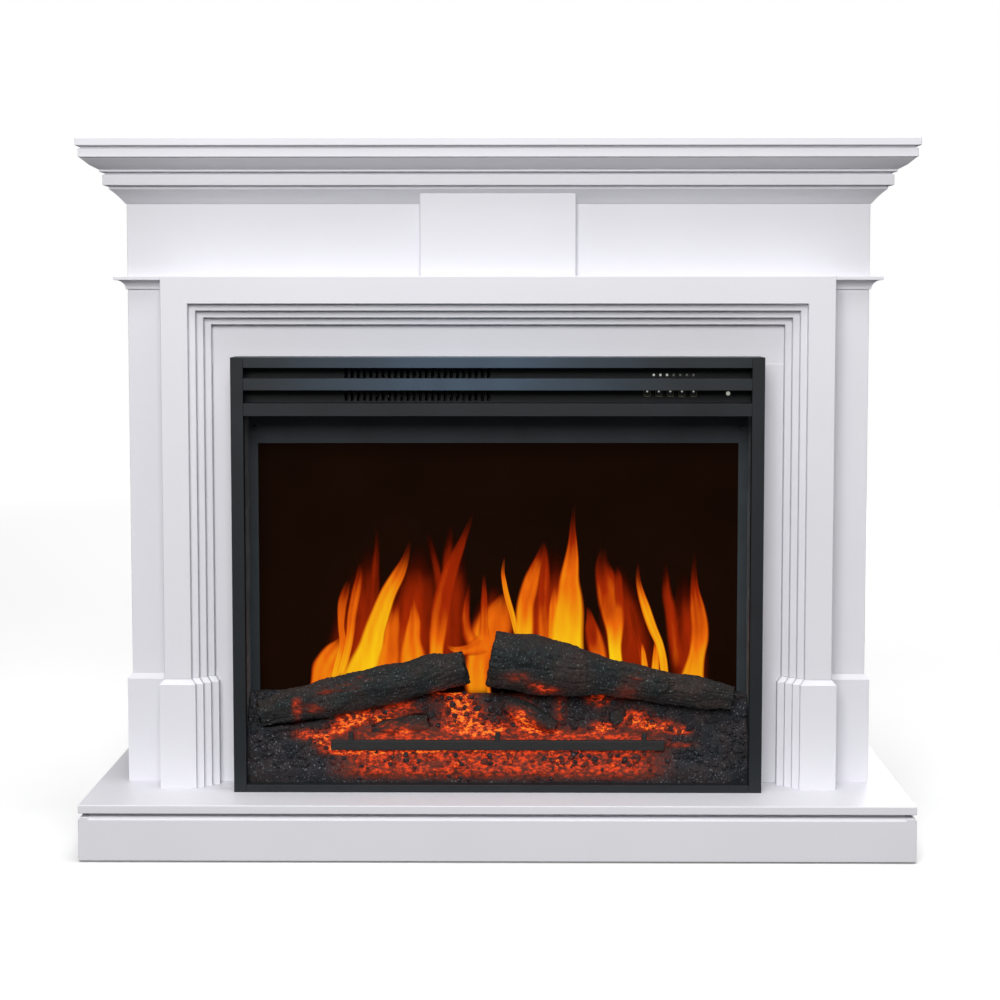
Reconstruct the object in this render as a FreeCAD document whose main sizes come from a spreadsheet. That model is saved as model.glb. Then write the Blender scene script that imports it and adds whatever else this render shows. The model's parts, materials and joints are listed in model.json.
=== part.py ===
import FreeCAD, Part
import math
import os

import Sketcher
from FreeCAD import Rotation, Vector

# Electric fireplace: a painted board surround round a steel fire insert.
# Millimetres. +X is to the right of someone facing the fire, +Y goes back to the wall, +Z is up.
# The origin is on the floor, under the middle of the hearth.

DOC = FreeCAD.newDocument("electric_fireplace")
SHEET = DOC.addObject("Spreadsheet::Sheet", "Dims")
NODES = []


# ---------------------------------------------------------------- sizes

class Size:
    """A length that knows its number and the sheet formula that gives it."""

    def __init__(self, number, text):
        self.number = number
        self.text = text

    @staticmethod
    def of(other):
        return other if isinstance(other, Size) else Size(float(other), repr(float(other)))

    def __add__(self, other):
        other = Size.of(other)
        return Size(self.number + other.number, f"({self.text} + {other.text})")

    def __sub__(self, other):
        other = Size.of(other)
        return Size(self.number - other.number, f"({self.text} - {other.text})")

    def __mul__(self, other):
        other = Size.of(other)
        return Size(self.number * other.number, f"({self.text} * {other.text})")

    def __truediv__(self, other):
        other = Size.of(other)
        return Size(self.number / other.number, f"({self.text} / {other.text})")

    def __neg__(self):
        return self * -1

    def __radd__(self, other):
        return Size.of(other) + self

    def __rsub__(self, other):
        return Size.of(other) - self

    def __rmul__(self, other):
        return Size.of(other) * self


def cell(alias, number, note):
    """One driving size: a row of the sheet with its name, number and meaning."""
    cell.row += 1
    SHEET.set(f"A{cell.row}", alias)
    SHEET.set(f"B{cell.row}", str(number))
    SHEET.setAlias(f"B{cell.row}", alias)
    SHEET.set(f"C{cell.row}", note)
    return Size(float(number), f"Dims.{alias}")


cell.row = 0

# hearth
hearth_inset = cell("hearth_inset", 10, "hearth ends in from the shelf's ends")
hearth_depth = cell("hearth_depth", 380, "hearth, front to wall")
hearth_height = cell("hearth_height", 68, "floor to hearth top")
hearth_board = cell("hearth_board", 10, "hearth top board, thick")
groove_height = cell("groove_height", 4, "shadow groove under the hearth top")
hearth_facing = cell("hearth_facing", 12, "hearth front and end boards, thick")
facing_chamfer = cell("facing_chamfer", 3, "chamfer along the top of the facing")
glide_height = cell("glide_height", 2, "felt glide, thick")
glide_radius = cell("glide_radius", 12, "felt glide, radius")
glide_inset = cell("glide_inset", 30, "glide centre in from the hearth's edges")

# carcass
total_height = cell("total_height", 848, "floor to mantel shelf top")
shelf_width = cell("shelf_width", 1000, "mantel shelf, across")
cornice_overhang = cell("cornice_overhang", 52, "shelf edge beyond the carcass")
body_depth = cell("body_depth", 232, "carcass, frieze face to wall")
board = cell("board", 12, "carcass boards, thick")
rail_height = cell("rail_height", 60, "back rails, high")
block_side = cell("block_side", 20, "glue blocks, square")
cable_notch = cell("cable_notch", 20, "cable notch in the lower back rail, each side of the cable")

# cornice, from the frieze up
cove_height = cell("cove_height", 21, "cove moulding, high")
cove_projection = cell("cove_projection", 18, "cove moulding, out from the carcass")
cove_lip = cell("cove_lip", 4, "flat edge above the cove")
lower_thickness = cell("lower_thickness", 13, "lower cornice board, thick")
lower_projection = cell("lower_projection", 24.5, "lower cornice board, out")
ogee_height = cell("ogee_height", 19, "ogee moulding, high")
ogee_reveal = cell("ogee_reveal", 22, "ogee moulding, out at its foot")
ogee_fillet = cell("ogee_fillet", 28, "ogee moulding, out at its fillet")
ogee_projection = cell("ogee_projection", 46.5, "ogee moulding, out at its top")
ogee_step = cell("ogee_step", 3, "reveal and fillet, high")
ogee_lip = cell("ogee_lip", 1, "flat edge above the ogee")
upper_thickness = cell("upper_thickness", 10.5, "upper cornice board, thick")
upper_projection = cell("upper_projection", 49, "upper cornice board, out")
shelf_thickness = cell("shelf_thickness", 12.5, "mantel shelf, thick")
rabbet_height = cell("rabbet_height", 3, "rabbet under the shelf edge, high")
rabbet_depth = cell("rabbet_depth", 5.5, "rabbet under the shelf edge, deep")

# stepped frame, plinths and caps
pilaster_reveal = cell("pilaster_reveal", 46, "pilaster face beside the stepped frame, wide")
frieze_height = cell("frieze_height", 87.5, "frieze, from the frame's top to the cove")
frame_projection = cell("frame_projection", 47, "frame face in front of the frieze")
frame_face = cell("frame_face", 32.5, "flat face of the frame, wide")
step_width = cell("step_width", 8.3, "each inward step, wide")
STEPS = 4
plinth_height = cell("plinth_height", 126.5, "plinths, high up to their slope")
plinth_margin = cell("plinth_margin", 5.5, "plinths, proud of what they wrap")
plinth_slope = cell("plinth_slope", 6, "sloped top of the plinths, high")
plinth_lip = cell("plinth_lip", 0.4, "edge left at the top of the slope")
cap_height = cell("cap_height", 15, "cap moulding, high")
cap_projection = cell("cap_projection", 15, "cap moulding, out")
cap_lip = cell("cap_lip", 3, "flat edge of the cap moulding")
cap_cove = cell("cap_cove", 11, "radius of the cap moulding's hollow")
key_width = cell("key_width", 188, "key block, across")
key_rise = cell("key_rise", 13.5, "key block above the foot of the cove")
key_thickness = cell("key_thickness", 12, "key block, thick")
key_edge = cell("key_edge", 1.2, "chamfer of the key block")

# fire insert
panel_margin = cell("panel_margin", 28.6, "inner panel beside the insert, wide")
panel_head = cell("panel_head", 38.1, "inner panel above the insert, high")
insert_depth = cell("insert_depth", 200, "insert, front to back")
insert_standoff = cell("insert_standoff", 26, "insert trim in front of the frame face")
trim_rail = cell("trim_rail", 15, "side rails of the trim, wide")
trim_foot = cell("trim_foot", 9, "bottom rail of the trim, high")
sheet_steel = cell("sheet_steel", 1.5, "steel sheet, thick")
trim_lap = cell("trim_lap", 11, "trim beyond the casing")
casing_clearance = cell("casing_clearance", 2, "casing to the opening in the boards")
top_bar = cell("top_bar", 12.5, "top louvre bar, high")
middle_bar = cell("middle_bar", 14, "middle louvre bar, high")
bottom_bar = cell("bottom_bar", 15, "bottom louvre bar, high")
top_bar_lap = cell("top_bar_lap", 10, "top louvre bar, folded back at its foot")
middle_bar_depth = cell("middle_bar_depth", 14, "middle louvre bar, front to back")
upper_gap = cell("upper_gap", 12.5, "gap under the top bar")
lower_gap = cell("lower_gap", 15.5, "gap under the middle bar")
panel_setback = cell("panel_setback", 30, "vent panel behind the trim face")
FRONT_SLOTS = 24
slot_pitch = cell("slot_pitch", 7.4, "vent slots, pitch")
slot_width = cell("slot_width", 3.6, "vent slots, wide")
slot_inset = cell("slot_inset", 122.5, "first vent slot in from the casing side")
bezel_setback = cell("bezel_setback", 75, "window bezel behind the trim face")
bezel_side = cell("bezel_side", 11.5, "bezel beside the window, wide")
bezel_head = cell("bezel_head", 36, "bezel above the window, high")
bezel_foot = cell("bezel_foot", 40, "bezel below the window, high")
screen_thickness = cell("screen_thickness", 3, "flame screen, thick")
screen_gap = cell("screen_gap", 0.3, "flame screen behind the bezel")

# controls
BUTTONS = 5
button_pitch = cell("button_pitch", 13.8, "buttons, pitch")
button_inset = cell("button_inset", 125.1, "first button in from the casing side")
button_width = cell("button_width", 9.5, "button, across")
button_height = cell("button_height", 10, "button, high")
button_level = cell("button_level", 6, "button foot above the bottom bar")
button_proud = cell("button_proud", 2.5, "button in front of the vent panel")
button_clearance = cell("button_clearance", 0.4, "button to its hole, each side")
button_chamfer = cell("button_chamfer", 2.5, "button, cut lower corners")
button_travel = cell("button_travel", 1.2, "button, press")
flange_lap = cell("flange_lap", 1, "button flange behind the panel, each side")
flange_thickness = cell("flange_thickness", 1.5, "button flange, thick")
stem_length = cell("stem_length", 3, "button stem behind its flange")
stem_side = cell("stem_side", 4, "button stem, square")
moving_gap = cell("moving_gap", 0.3, "room kept between moving and fixed pieces")
board_thickness = cell("board_thickness", 1.6, "control board, thick")
switch_side = cell("switch_side", 6, "switch body, square")
switch_depth = cell("switch_depth", 3, "switch body in front of the control board")
lamp_radius = cell("lamp_radius", 1.5, "indicator light, radius")
lamp_level = cell("lamp_level", 3.5, "indicator lights above the middle bar")
LAMPS = 7
lamp_height = cell("lamp_height", 1, "indicator light, proud")
receiver_radius = cell("receiver_radius", 2.5, "remote control receiver, radius")

back_slot_width = cell("back_slot_width", 6, "vent slots in the back cover, wide")
back_slot_height = cell("back_slot_height", 40, "vent slots in the back cover, high")
back_slot_pitch = cell("back_slot_pitch", 12, "vent slots in the back cover, pitch")
back_slot_drop = cell("back_slot_drop", 72, "vent slots in the back cover, below the casing top")
BACK_SLOTS = 24

screw_radius = cell("screw_radius", 3.2, "bezel screws, radius of the head")
screw_height = cell("screw_height", 1.5, "bezel screws, height of the head")

# fire
ember_depth = cell("ember_depth", 54, "ember bed, front to back")
ember_toe = cell("ember_toe", 22, "ember bed, front edge height")
ember_middle = cell("ember_middle", 108, "ember bed, height at the back, mid span")
ember_end = cell("ember_end", 112, "ember bed, height at the back, at the ends")
ember_clearance = cell("ember_clearance", 0.5, "ember bed to the casing sides")
log_inset = cell("log_inset", 14, "log ends in from the casing sides")
log_forward = cell("log_forward", 33, "left log's middle in front of the bezel")
thick_log_forward = cell("thick_log_forward", 38, "right log's middle in front of the bezel")
low_log_forward = cell("low_log_forward", 28, "low log's middle in front of the bezel")
branch_start = cell("branch_start", 8, "branch, its high end to the right of the middle")
branch_forward = cell("branch_forward", 42, "branch's middle in front of the bezel")
left_log_gap = cell("left_log_gap", 31.5, "left log's inner end to the middle")
left_log_radius = cell("left_log_radius", 25, "left log, radius")
left_log_rise = cell("left_log_rise", 59, "left log, rise from end to end")
left_log_level = cell("left_log_level", 86, "left log's outer end above the fire floor")
right_log_reach = cell("right_log_reach", 8, "right log's inner end past the middle")
right_log_radius = cell("right_log_radius", 36, "right log, radius at its thick end")
right_log_drop = cell("right_log_drop", 50, "right log, fall from end to end")
right_log_level = cell("right_log_level", 156.5, "right log's inner end above the fire floor")
low_log_length = cell("low_log_length", 88, "log under the left log, long")
low_log_radius = cell("low_log_radius", 15, "log under the left log, radius")
low_log_gap = cell("low_log_gap", 7, "log under the left log, past the grate's left arm")
low_log_rise = cell("low_log_rise", 12, "log under the left log, rise from end to end")
low_log_level = cell("low_log_level", 62, "log under the left log, above the fire floor")
branch_length = cell("branch_length", 70, "branch, long")
branch_radius = cell("branch_radius", 13, "branch, radius")
branch_tilt = cell("branch_tilt", 27, "branch, slope in degrees")
branch_level = cell("branch_level", 103, "branch, middle of its high end above the fire floor")
grate_inset = cell("grate_inset", 102.5, "grate bar in from the casing sides")
grate_side = cell("grate_side", 8, "grate bar, front to back")
grate_height = cell("grate_height", 12, "grate bar, high")
grate_level = cell("grate_level", 47.5, "grate bar above the hearth")
grate_gap = cell("grate_gap", 4, "grate bar behind the trim's foot")
peg_height = cell("peg_height", 9, "grate pegs, high")
peg_width = cell("peg_width", 6, "grate pegs, wide")
arm_width = cell("arm_width", 4, "grate arms, wide")
arm_length = cell("arm_length", 14, "grate arms, from the bar into the embers")
bulb_radius = cell("bulb_radius", 3, "ember lamps, radius and height")
bulb_strip = cell("bulb_strip", 1.6, "ember lamps' strip, thick")
bulb_strip_width = cell("bulb_strip_width", 12, "ember lamps' strip, front to back")
bulb_inset = cell("bulb_inset", 16, "ember lamps' strip behind the front of the ember bed")
bulb_margin = cell("bulb_margin", 2, "ember lamps' strip to the hollow it lies in")
BULBS = 12
PEG_SHARE = 0.88

# works
bay_floor = cell("bay_floor", 1.5, "divider between fire and blower bay, thick")
shaft_radius = cell("shaft_radius", 2, "shafts, radius")
shaft_clearance = cell("shaft_clearance", 0.05, "shafts to their bearings, radial")
flicker_radius = cell("flicker_radius", 18, "flicker blades, radius")
flicker_inset = cell("flicker_inset", 53.5, "flicker rod bearings in from the casing sides")
flicker_behind = cell("flicker_behind", 45, "flicker rod behind the bezel")
flicker_level = cell("flicker_level", 60, "flicker rod above the fire floor")
star_inset = cell("star_inset", 20, "first flicker star in from its bearing")
star_thickness = cell("star_thickness", 0.8, "flicker stars, sheet")
bearing_thickness = cell("bearing_thickness", 4, "flicker rod bearings, thick")
bearing_width = cell("bearing_width", 14, "flicker rod bearings, wide")
FLICKER_STARS = 10
STAR_POINTS = 8
housing_clearance = cell("housing_clearance", 3.75, "blower housing to the bay's floor and lid")
rotor_length = cell("rotor_length", 180, "blower rotor, long")
rotor_behind = cell("rotor_behind", 62, "blower rotor's middle behind the vent panel")
rotor_stub = cell("rotor_stub", 7, "blower shaft past each end of the rotor")
rotor_end_gap = cell("rotor_end_gap", 1, "blower rotor to its end plates")
disc_thickness = cell("disc_thickness", 1.5, "blower rotor's end discs, thick")
blade_depth = cell("blade_depth", 4.6, "blower blades, from their outer to their inner edge")
blade_thickness = cell("blade_thickness", 0.8, "blower blades, thick")
end_plate = cell("end_plate", 2, "blower end plates, thick")
heater_behind = cell("heater_behind", 16, "heating element behind the vent panel")
heater_thickness = cell("heater_thickness", 10, "heating element, thick")
heater_margin = cell("heater_margin", 5, "heating element, solid edge round its slots")
ROTOR_BLADES = 16
housing_gap = cell("housing_gap", 3, "blower rotor to its housing")
motor_radius = cell("motor_radius", 16, "motors, radius")
motor_length = cell("motor_length", 24, "motors, long")
gland_bore = cell("gland_bore", 4, "cable inlet, bore radius")
gland_radius = cell("gland_radius", 8, "cable inlet, outer radius")
gland_length = cell("gland_length", 14, "cable inlet, long")
gland_inset = cell("gland_inset", 60, "cable inlet in from the casing side")
gland_height = cell("gland_height", 40, "cable inlet above the hearth")
wall_hole = cell("wall_hole", 3, "wall bracket holes, radius")
wall_spacing = cell("wall_spacing", 600, "wall bracket holes, apart")
tab_width = cell("tab_width", 30, "wall brackets, wide")
tab_drop = cell("tab_drop", 30, "wall brackets, below the upper rail")
tab_lap = cell("tab_lap", 40, "wall brackets, up the upper rail")

# places worked out from the sizes
hearth_width = shelf_width - hearth_inset * 2
back = hearth_depth / 2
body_half = shelf_width / 2 - cornice_overhang
body_front = back - body_depth
frame_half = body_half - pilaster_reveal
frame_front = body_front - frame_projection
step_back = (frame_projection - board) / STEPS
frame_band = frame_face + step_width * (STEPS - 1)
panel_front = body_front - board
plinth_top = hearth_height + plinth_height
slope_top = plinth_top + plinth_slope

shelf_foot = total_height - shelf_thickness
upper_foot = shelf_foot - upper_thickness
ogee_foot = upper_foot - ogee_height
lower_foot = ogee_foot - lower_thickness
cove_foot = lower_foot - cove_height
frame_height = cove_foot - frieze_height
frame_inner = frame_half - frame_band
frame_inner_top = frame_height - frame_band

insert_half = frame_inner - panel_margin
insert_top = frame_inner_top - panel_head
trim_front = frame_front - insert_standoff
insert_back = trim_front + insert_depth
rail_half = insert_half - trim_rail
casing_half = insert_half - trim_lap
casing_inner = casing_half - sheet_steel
casing_top = insert_top - trim_lap
opening_half = casing_half + casing_clearance
opening_top = casing_top + casing_clearance
vent_face = trim_front + panel_setback
bezel_face = trim_front + bezel_setback
middle_top = insert_top - top_bar - upper_gap
bottom_top = middle_top - middle_bar - lower_gap
bay_foot = bottom_top - bottom_bar
fire_floor = hearth_height + sheet_steel
foot_back = trim_front + trim_rail
peg_across = (casing_inner - grate_inset) * PEG_SHARE
slot_first = slot_inset - casing_inner
button_first = casing_inner - button_inset
bay_top = casing_top - sheet_steel
gland_across = casing_half - gland_inset
gland_level = hearth_height + gland_height


# ---------------------------------------------------------------- building helpers

def bind(thing, prop, size):
    """Tie one property to the sheet."""
    thing.setExpression(prop, Size.of(size).text)


def put(thing, low):
    """Tie a piece's place to the sheet."""
    for axis, size in zip("xyz", low):
        bind(thing, f"Placement.Base.{axis}", size)


def node(name, thing):
    """Name a finished sub-part; its label is its file name."""
    thing.Label = name
    NODES.append(thing)
    return thing


def box(name, x, y, z):
    """A rectangular piece between two limits along each axis."""
    block = DOC.addObject("Part::Box", name)
    for prop, (low, high) in zip(("Length", "Width", "Height"), (x, y, z)):
        bind(block, prop, high - low)
    put(block, [x[0], y[0], z[0]])
    return block


ALONG = {
    "x": Rotation(Vector(0, 1, 0), 90),
    "y": Rotation(Vector(1, 0, 0), -90),
    "z": Rotation(),
}


def rod(name, axis, low, radius, length):
    """A round piece that runs from low along x, y or z."""
    bar = DOC.addObject("Part::Cylinder", name)
    bind(bar, "Radius", radius)
    bind(bar, "Height", length)
    bar.Placement = FreeCAD.Placement(Vector(), ALONG[axis])
    put(bar, low)
    return bar


def cut(name, base, *tools):
    """Base less the tools."""
    for count, tool in enumerate(tools):
        less = DOC.addObject("Part::Cut", f"{name}_{count}")
        less.Base = base
        less.Tool = tool
        base = less
    return base


def fuse(name, *pieces):
    """Pieces that are one solid."""
    whole = DOC.addObject("Part::MultiFuse", name)
    whole.Shapes = list(pieces)
    return whole


def group(name, pieces):
    """Like pieces that share a name but stay separate solids."""
    bundle = DOC.addObject("Part::Compound", name)
    bundle.Links = list(pieces)
    return bundle


def body(name):
    return DOC.addObject("PartDesign::Body", name)


def plane_of(holder, plane):
    return next(item for item in holder.Origin.OriginFeatures if item.Role == f"{plane}_Plane")


def arc_between(start, end, centre):
    """An arc about centre as a sketch holds it, and whether it runs from start to end."""
    ccw = (start - centre).cross(end - centre).z > 0
    first, last = (start, end) if ccw else (end, start)
    angles = [math.atan2(p.y - centre.y, p.x - centre.x) for p in (first, last)]
    if angles[1] < angles[0]:
        angles[1] += 2 * math.pi
    circle = Part.Circle(centre, Vector(0, 0, 1), (start - centre).Length)
    return Part.ArcOfCircle(circle, *angles), ccw


def sketch(holder, plane, outline, at=0):
    """A closed outline on one of the body's planes, moved along the plane's normal by at.

    A point is a pair of sizes. A third entry, (centre, radius), makes the side that leaves
    it an arc. Every corner is held by two dimensions tied to the sheet.
    """
    drawing = holder.newObject("Sketcher::SketchObject", f"{holder.Name}_sketch")
    drawing.AttachmentSupport = [(plane_of(holder, plane), "")]
    drawing.MapMode = "FlatFace"
    bind(drawing, "AttachmentOffset.Base.z", at)
    corners = [[Size.of(value) for value in point[:2]] for point in outline]
    spots = [Vector(u.number, v.number, 0) for u, v in corners]
    ends = []
    for index, point in enumerate(outline):
        start, end = spots[index], spots[(index + 1) % len(spots)]
        if len(point) == 2:
            drawing.addGeometry(Part.LineSegment(start, end))
            ends.append((1, 2))
            continue
        centre = Vector(*(Size.of(value).number for value in point[2][0]), 0)
        arc, forward = arc_between(start, end, centre)
        drawing.addGeometry(arc)
        ends.append((1, 2) if forward else (2, 1))
    for index in range(len(outline)):
        after = (index + 1) % len(outline)
        drawing.addConstraint(
            Sketcher.Constraint("Coincident", index, ends[index][1], after, ends[after][0])
        )
    for index, point in enumerate(outline):
        for kind, size in zip(("DistanceX", "DistanceY"), corners[index]):
            held = drawing.addConstraint(
                Sketcher.Constraint(kind, -1, 1, index, ends[index][0], size.number)
            )
            bind(drawing, f"Constraints[{held}]", size)
        if len(point) == 3:
            radius = Size.of(point[2][1])
            held = drawing.addConstraint(Sketcher.Constraint("Radius", index, radius.number))
            bind(drawing, f"Constraints[{held}]", radius)
    return drawing


def pad(holder, plane, outline, low, high):
    """Pad an outline between two levels: XY runs up, YZ along X, XZ along Y."""
    at = -high if plane == "XZ" else low
    feature = holder.newObject("PartDesign::Pad", f"{holder.Name}_pad")
    feature.Profile = sketch(holder, plane, outline, at)
    bind(feature, "Length", high - low)
    return feature


def pocket(holder, plane, outline, low, high):
    """Cut an outline out between two levels."""
    at = -low if plane == "XZ" else high
    feature = holder.newObject("PartDesign::Pocket", f"{holder.Name}_pocket")
    feature.Profile = sketch(holder, plane, outline, at)
    bind(feature, "Length", high - low)
    return feature


def loft(holder, plane, sections):
    """Straight-sided loft through outlines, each with its level."""
    feature = holder.newObject("PartDesign::AdditiveLoft", f"{holder.Name}_loft")
    drawings = [sketch(holder, plane, outline, at) for outline, at in sections]
    feature.Profile = drawings[0]
    feature.Sections = drawings[1:]
    feature.Ruled = True
    return feature


def repeat(holder, feature, axis, pitch, count):
    """Repeat the last feature along an axis of the body."""
    row = holder.newObject("PartDesign::LinearPattern", f"{holder.Name}_row")
    row.Originals = [feature]
    line = next(item for item in holder.Origin.OriginFeatures if item.Role == f"{axis}_Axis")
    row.Direction = (line, [""])
    row.Mode = "Spacing"
    bind(row, "Offset", pitch)
    row.Occurrences = count
    holder.Tip = row
    return row


def rectangle(x, y):
    return [(x[0], y[0]), (x[1], y[0]), (x[1], y[1]), (x[0], y[1])]


# ---------------------------------------------------------------- hearth

def glides():
    """Six felt discs that the hearth stands on."""
    discs = []
    edge = hearth_width / 2 - glide_inset
    for column in (-1, 0, 1):
        for row in (-1, 1):
            low = [edge * column, (back - glide_inset) * row, 0]
            discs.append(rod("glide", "z", low, glide_radius, glide_height))
    node("glides", group("glides_group", discs))


def hearth():
    half = hearth_width / 2
    core = half - hearth_facing
    core_front = -back + hearth_facing
    core_top = hearth_height - hearth_board
    facing_top = core_top - groove_height
    node("hearth_top", box("hearth_top", (-half, half), (-back, back), (core_top, hearth_height)))

    front = body("hearth_front")
    slope = facing_chamfer
    profile = [
        (-back, glide_height), (core_front, glide_height), (core_front, facing_top),
        (-back + slope, facing_top), (-back, facing_top - slope),
    ]
    pad(front, "YZ", profile, -core, core)
    node("hearth_front", front)

    ends = []
    for side in (-1, 1):
        end = body("hearth_end")
        profile = [
            (half * side, glide_height), (core * side, glide_height), (core * side, facing_top),
            ((half - slope) * side, facing_top), (half * side, facing_top - slope),
        ]
        pad(end, "XZ", profile, -back, back)
        ends.append(end)
    node("hearth_ends", group("hearth_ends_group", ends))

    level = (glide_height, core_top)
    rails = [
        box("front_rail", (-core, core), (core_front, core_front + board), level),
        box("back_rail", (-core, core), (back - board, back), level),
    ]
    reach = core - board / 2
    for share in (-1, -0.35, 0.35, 1):
        middle = reach * share
        across = (middle - board / 2, middle + board / 2)
        rails.append(box("bearer", across, (core_front + board, back - board), level))
    node("hearth_rails", group("hearth_rails_group", rails))


# ---------------------------------------------------------------- carcass

def sided(side, near, far):
    """Limits along X for a piece that is mirrored when side is -1."""
    return (near, far) if side > 0 else (-far, -near)


SIDES = ((-1, "left"), (1, "right"))


def carcass():
    inside = body_front + board
    panels, pilasters = [], []
    for side, _ in SIDES:
        across = sided(side, body_half - board, body_half)
        panels.append(box("side_panel", across, (inside, back), (hearth_height, lower_foot)))
        across = sided(side, opening_half, body_half)
        level = (hearth_height, opening_top)
        pilasters.append(box("pilaster", across, (body_front, inside), level))
    node("side_panels", group("side_panels_group", panels))
    node("pilasters", group("pilasters_group", pilasters))
    across = (-body_half, body_half)
    level = (opening_top, lower_foot)
    node("frieze_board", box("frieze_board", across, (body_front, inside), level))

    inner = body_half - board
    deep = (back - board, back)
    top = hearth_height + rail_height
    lower = box("lower_rail", (-inner, inner), deep, (hearth_height, top))
    across = (gland_across - cable_notch, gland_across + cable_notch)
    notch = box("cable_notch", across, deep, (gland_level - cable_notch, top))
    level = (lower_foot - rail_height, lower_foot)
    rails = [
        cut("notched_rail", lower, notch),
        box("upper_rail", (-inner, inner), deep, level),
    ]
    across = (-body_half, body_half)
    rails.append(box("cornice_rail", across, (back - board, back), (ogee_foot, upper_foot)))
    node("back_rails", group("back_rails_group", rails))

    blocks = []
    for side, _ in SIDES:
        across = sided(side, inner - block_side, inner)
        deep = (inside, inside + block_side)
        blocks.append(box("block", across, deep, (hearth_height, lower_foot)))
    node("glue_blocks", group("glue_blocks_group", blocks))


def wall_brackets():
    """Flat steel tabs on the upper back rail, each with a hole for a wall screw."""
    rail_foot = lower_foot - rail_height
    tabs = []
    for side, _ in SIDES:
        middle = wall_spacing / 2 * side
        deep = (back - board - sheet_steel, back - board)
        across = (middle - tab_width / 2, middle + tab_width / 2)
        tab = box("tab", across, deep, (rail_foot - tab_drop, rail_foot + tab_lap))
        low = [middle, deep[0] - 1, rail_foot - tab_drop / 2]
        hole = rod("tab_hole", "y", low, wall_hole, sheet_steel + 2)
        tabs.append(cut("tab_cut", tab, hole))
    node("wall_brackets", group("wall_brackets_group", tabs))


# ---------------------------------------------------------------- cornice

def mitred(name, profile, depth):
    """A moulding round the front and both sides of the carcass, as three mitred lengths.

    The profile's points are (projection, height), and depth is its largest projection.
    """
    def placed(along):
        points = []
        for point in profile:
            spot = [along(point[0]), point[1]]
            if len(point) == 3:
                (out, up), radius = point[2]
                spot.append(((along(out), up), radius))
            points.append(tuple(spot))
        return points

    spare = 1
    low, high = profile[0][1] - spare, profile[-1][1] + spare
    beyond = depth + spare
    corner = body_half + beyond
    nose = body_front - beyond

    front = body(f"{name}_front")
    pad(front, "YZ", placed(lambda out: body_front - out), -corner + spare, corner - spare)
    for side, _ in SIDES:
        waste = [(body_half * side, body_front), (corner * side, nose), (corner * side, body_front)]
        pocket(front, "XY", waste, low, high)
    lengths = [front]
    for side, word in SIDES:
        run = body(f"{name}_{word}")
        outline = placed(lambda out, side=side: (body_half + out) * side)
        pad(run, "XZ", outline, body_front - depth, back)
        waste = [(body_half * side, body_front), (corner * side, nose), (body_half * side, nose)]
        pocket(run, "XY", waste, low, high)
        lengths.append(run)
    return group(f"{name}_group", lengths)


def cove_moulding():
    rise = cove_height - cove_lip
    foot = cove_projection - rise
    # an arc about a point three rises out and three down has a radius of five rises
    centre = (cove_projection + rise * 3, cove_foot - rise * 3)
    profile = [
        (0, cove_foot),
        (foot, cove_foot, (centre, rise * 5)),
        (cove_projection, cove_foot + rise),
        (cove_projection, lower_foot),
        (0, lower_foot),
    ]
    return node("cove_moulding", mitred("cove", profile, cove_projection))


def ogee_moulding():
    """A reveal, a fillet, then a splay in two facets, the lower one flatter."""
    first = ogee_foot + ogee_step
    second = first + ogee_step
    top = upper_foot - ogee_lip
    start = ogee_fillet + 1
    middle = start + (ogee_projection - start) / 2
    profile = [
        (0, ogee_foot), (ogee_reveal, ogee_foot), (ogee_reveal, first),
        (ogee_fillet, first), (ogee_fillet, second), (start, second),
        (middle, second + (top - second) * 0.38), (ogee_projection, top),
        (ogee_projection, upper_foot), (0, upper_foot),
    ]
    node("ogee_moulding", mitred("ogee", profile, ogee_projection))


def plate(name, projection, low, high):
    """A board that covers the carcass and stands out on three sides."""
    across = body_half + projection
    return box(name, (-across, across), (body_front - projection, back), (low, high))


def cornice():
    node("cornice_lower", plate("cornice_lower", lower_projection, lower_foot, ogee_foot))
    ogee_moulding()
    node("cornice_upper", plate("cornice_upper", upper_projection, upper_foot, shelf_foot))
    shelf = body("mantel_shelf")
    half = shelf_width / 2
    nose = body_front - cornice_overhang
    pad(shelf, "XY", rectangle((-half, half), (nose, back)), shelf_foot, total_height)
    inner, inset = half - rabbet_depth, nose + rabbet_depth
    outline = [
        (-half - 1, nose - 1), (half + 1, nose - 1), (half + 1, back + 1), (inner, back + 1),
        (inner, inset), (-inner, inset), (-inner, back + 1), (-half - 1, back + 1),
    ]
    pocket(shelf, "XY", outline, shelf_foot - 1, shelf_foot + rabbet_height)
    node("mantel_shelf", shelf)


# ---------------------------------------------------------------- stepped frame

def stair(side, outer, front, fall):
    """Corners of the steps from the frame's face down to the inner panel, seen from above."""
    points = []
    for index in range(STEPS):
        edge = outer - frame_face - step_width * index
        points.append((edge * side, front + fall * index))
        if index < STEPS - 1:
            points.append((edge * side, front + fall * (index + 1)))
    return points


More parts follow.
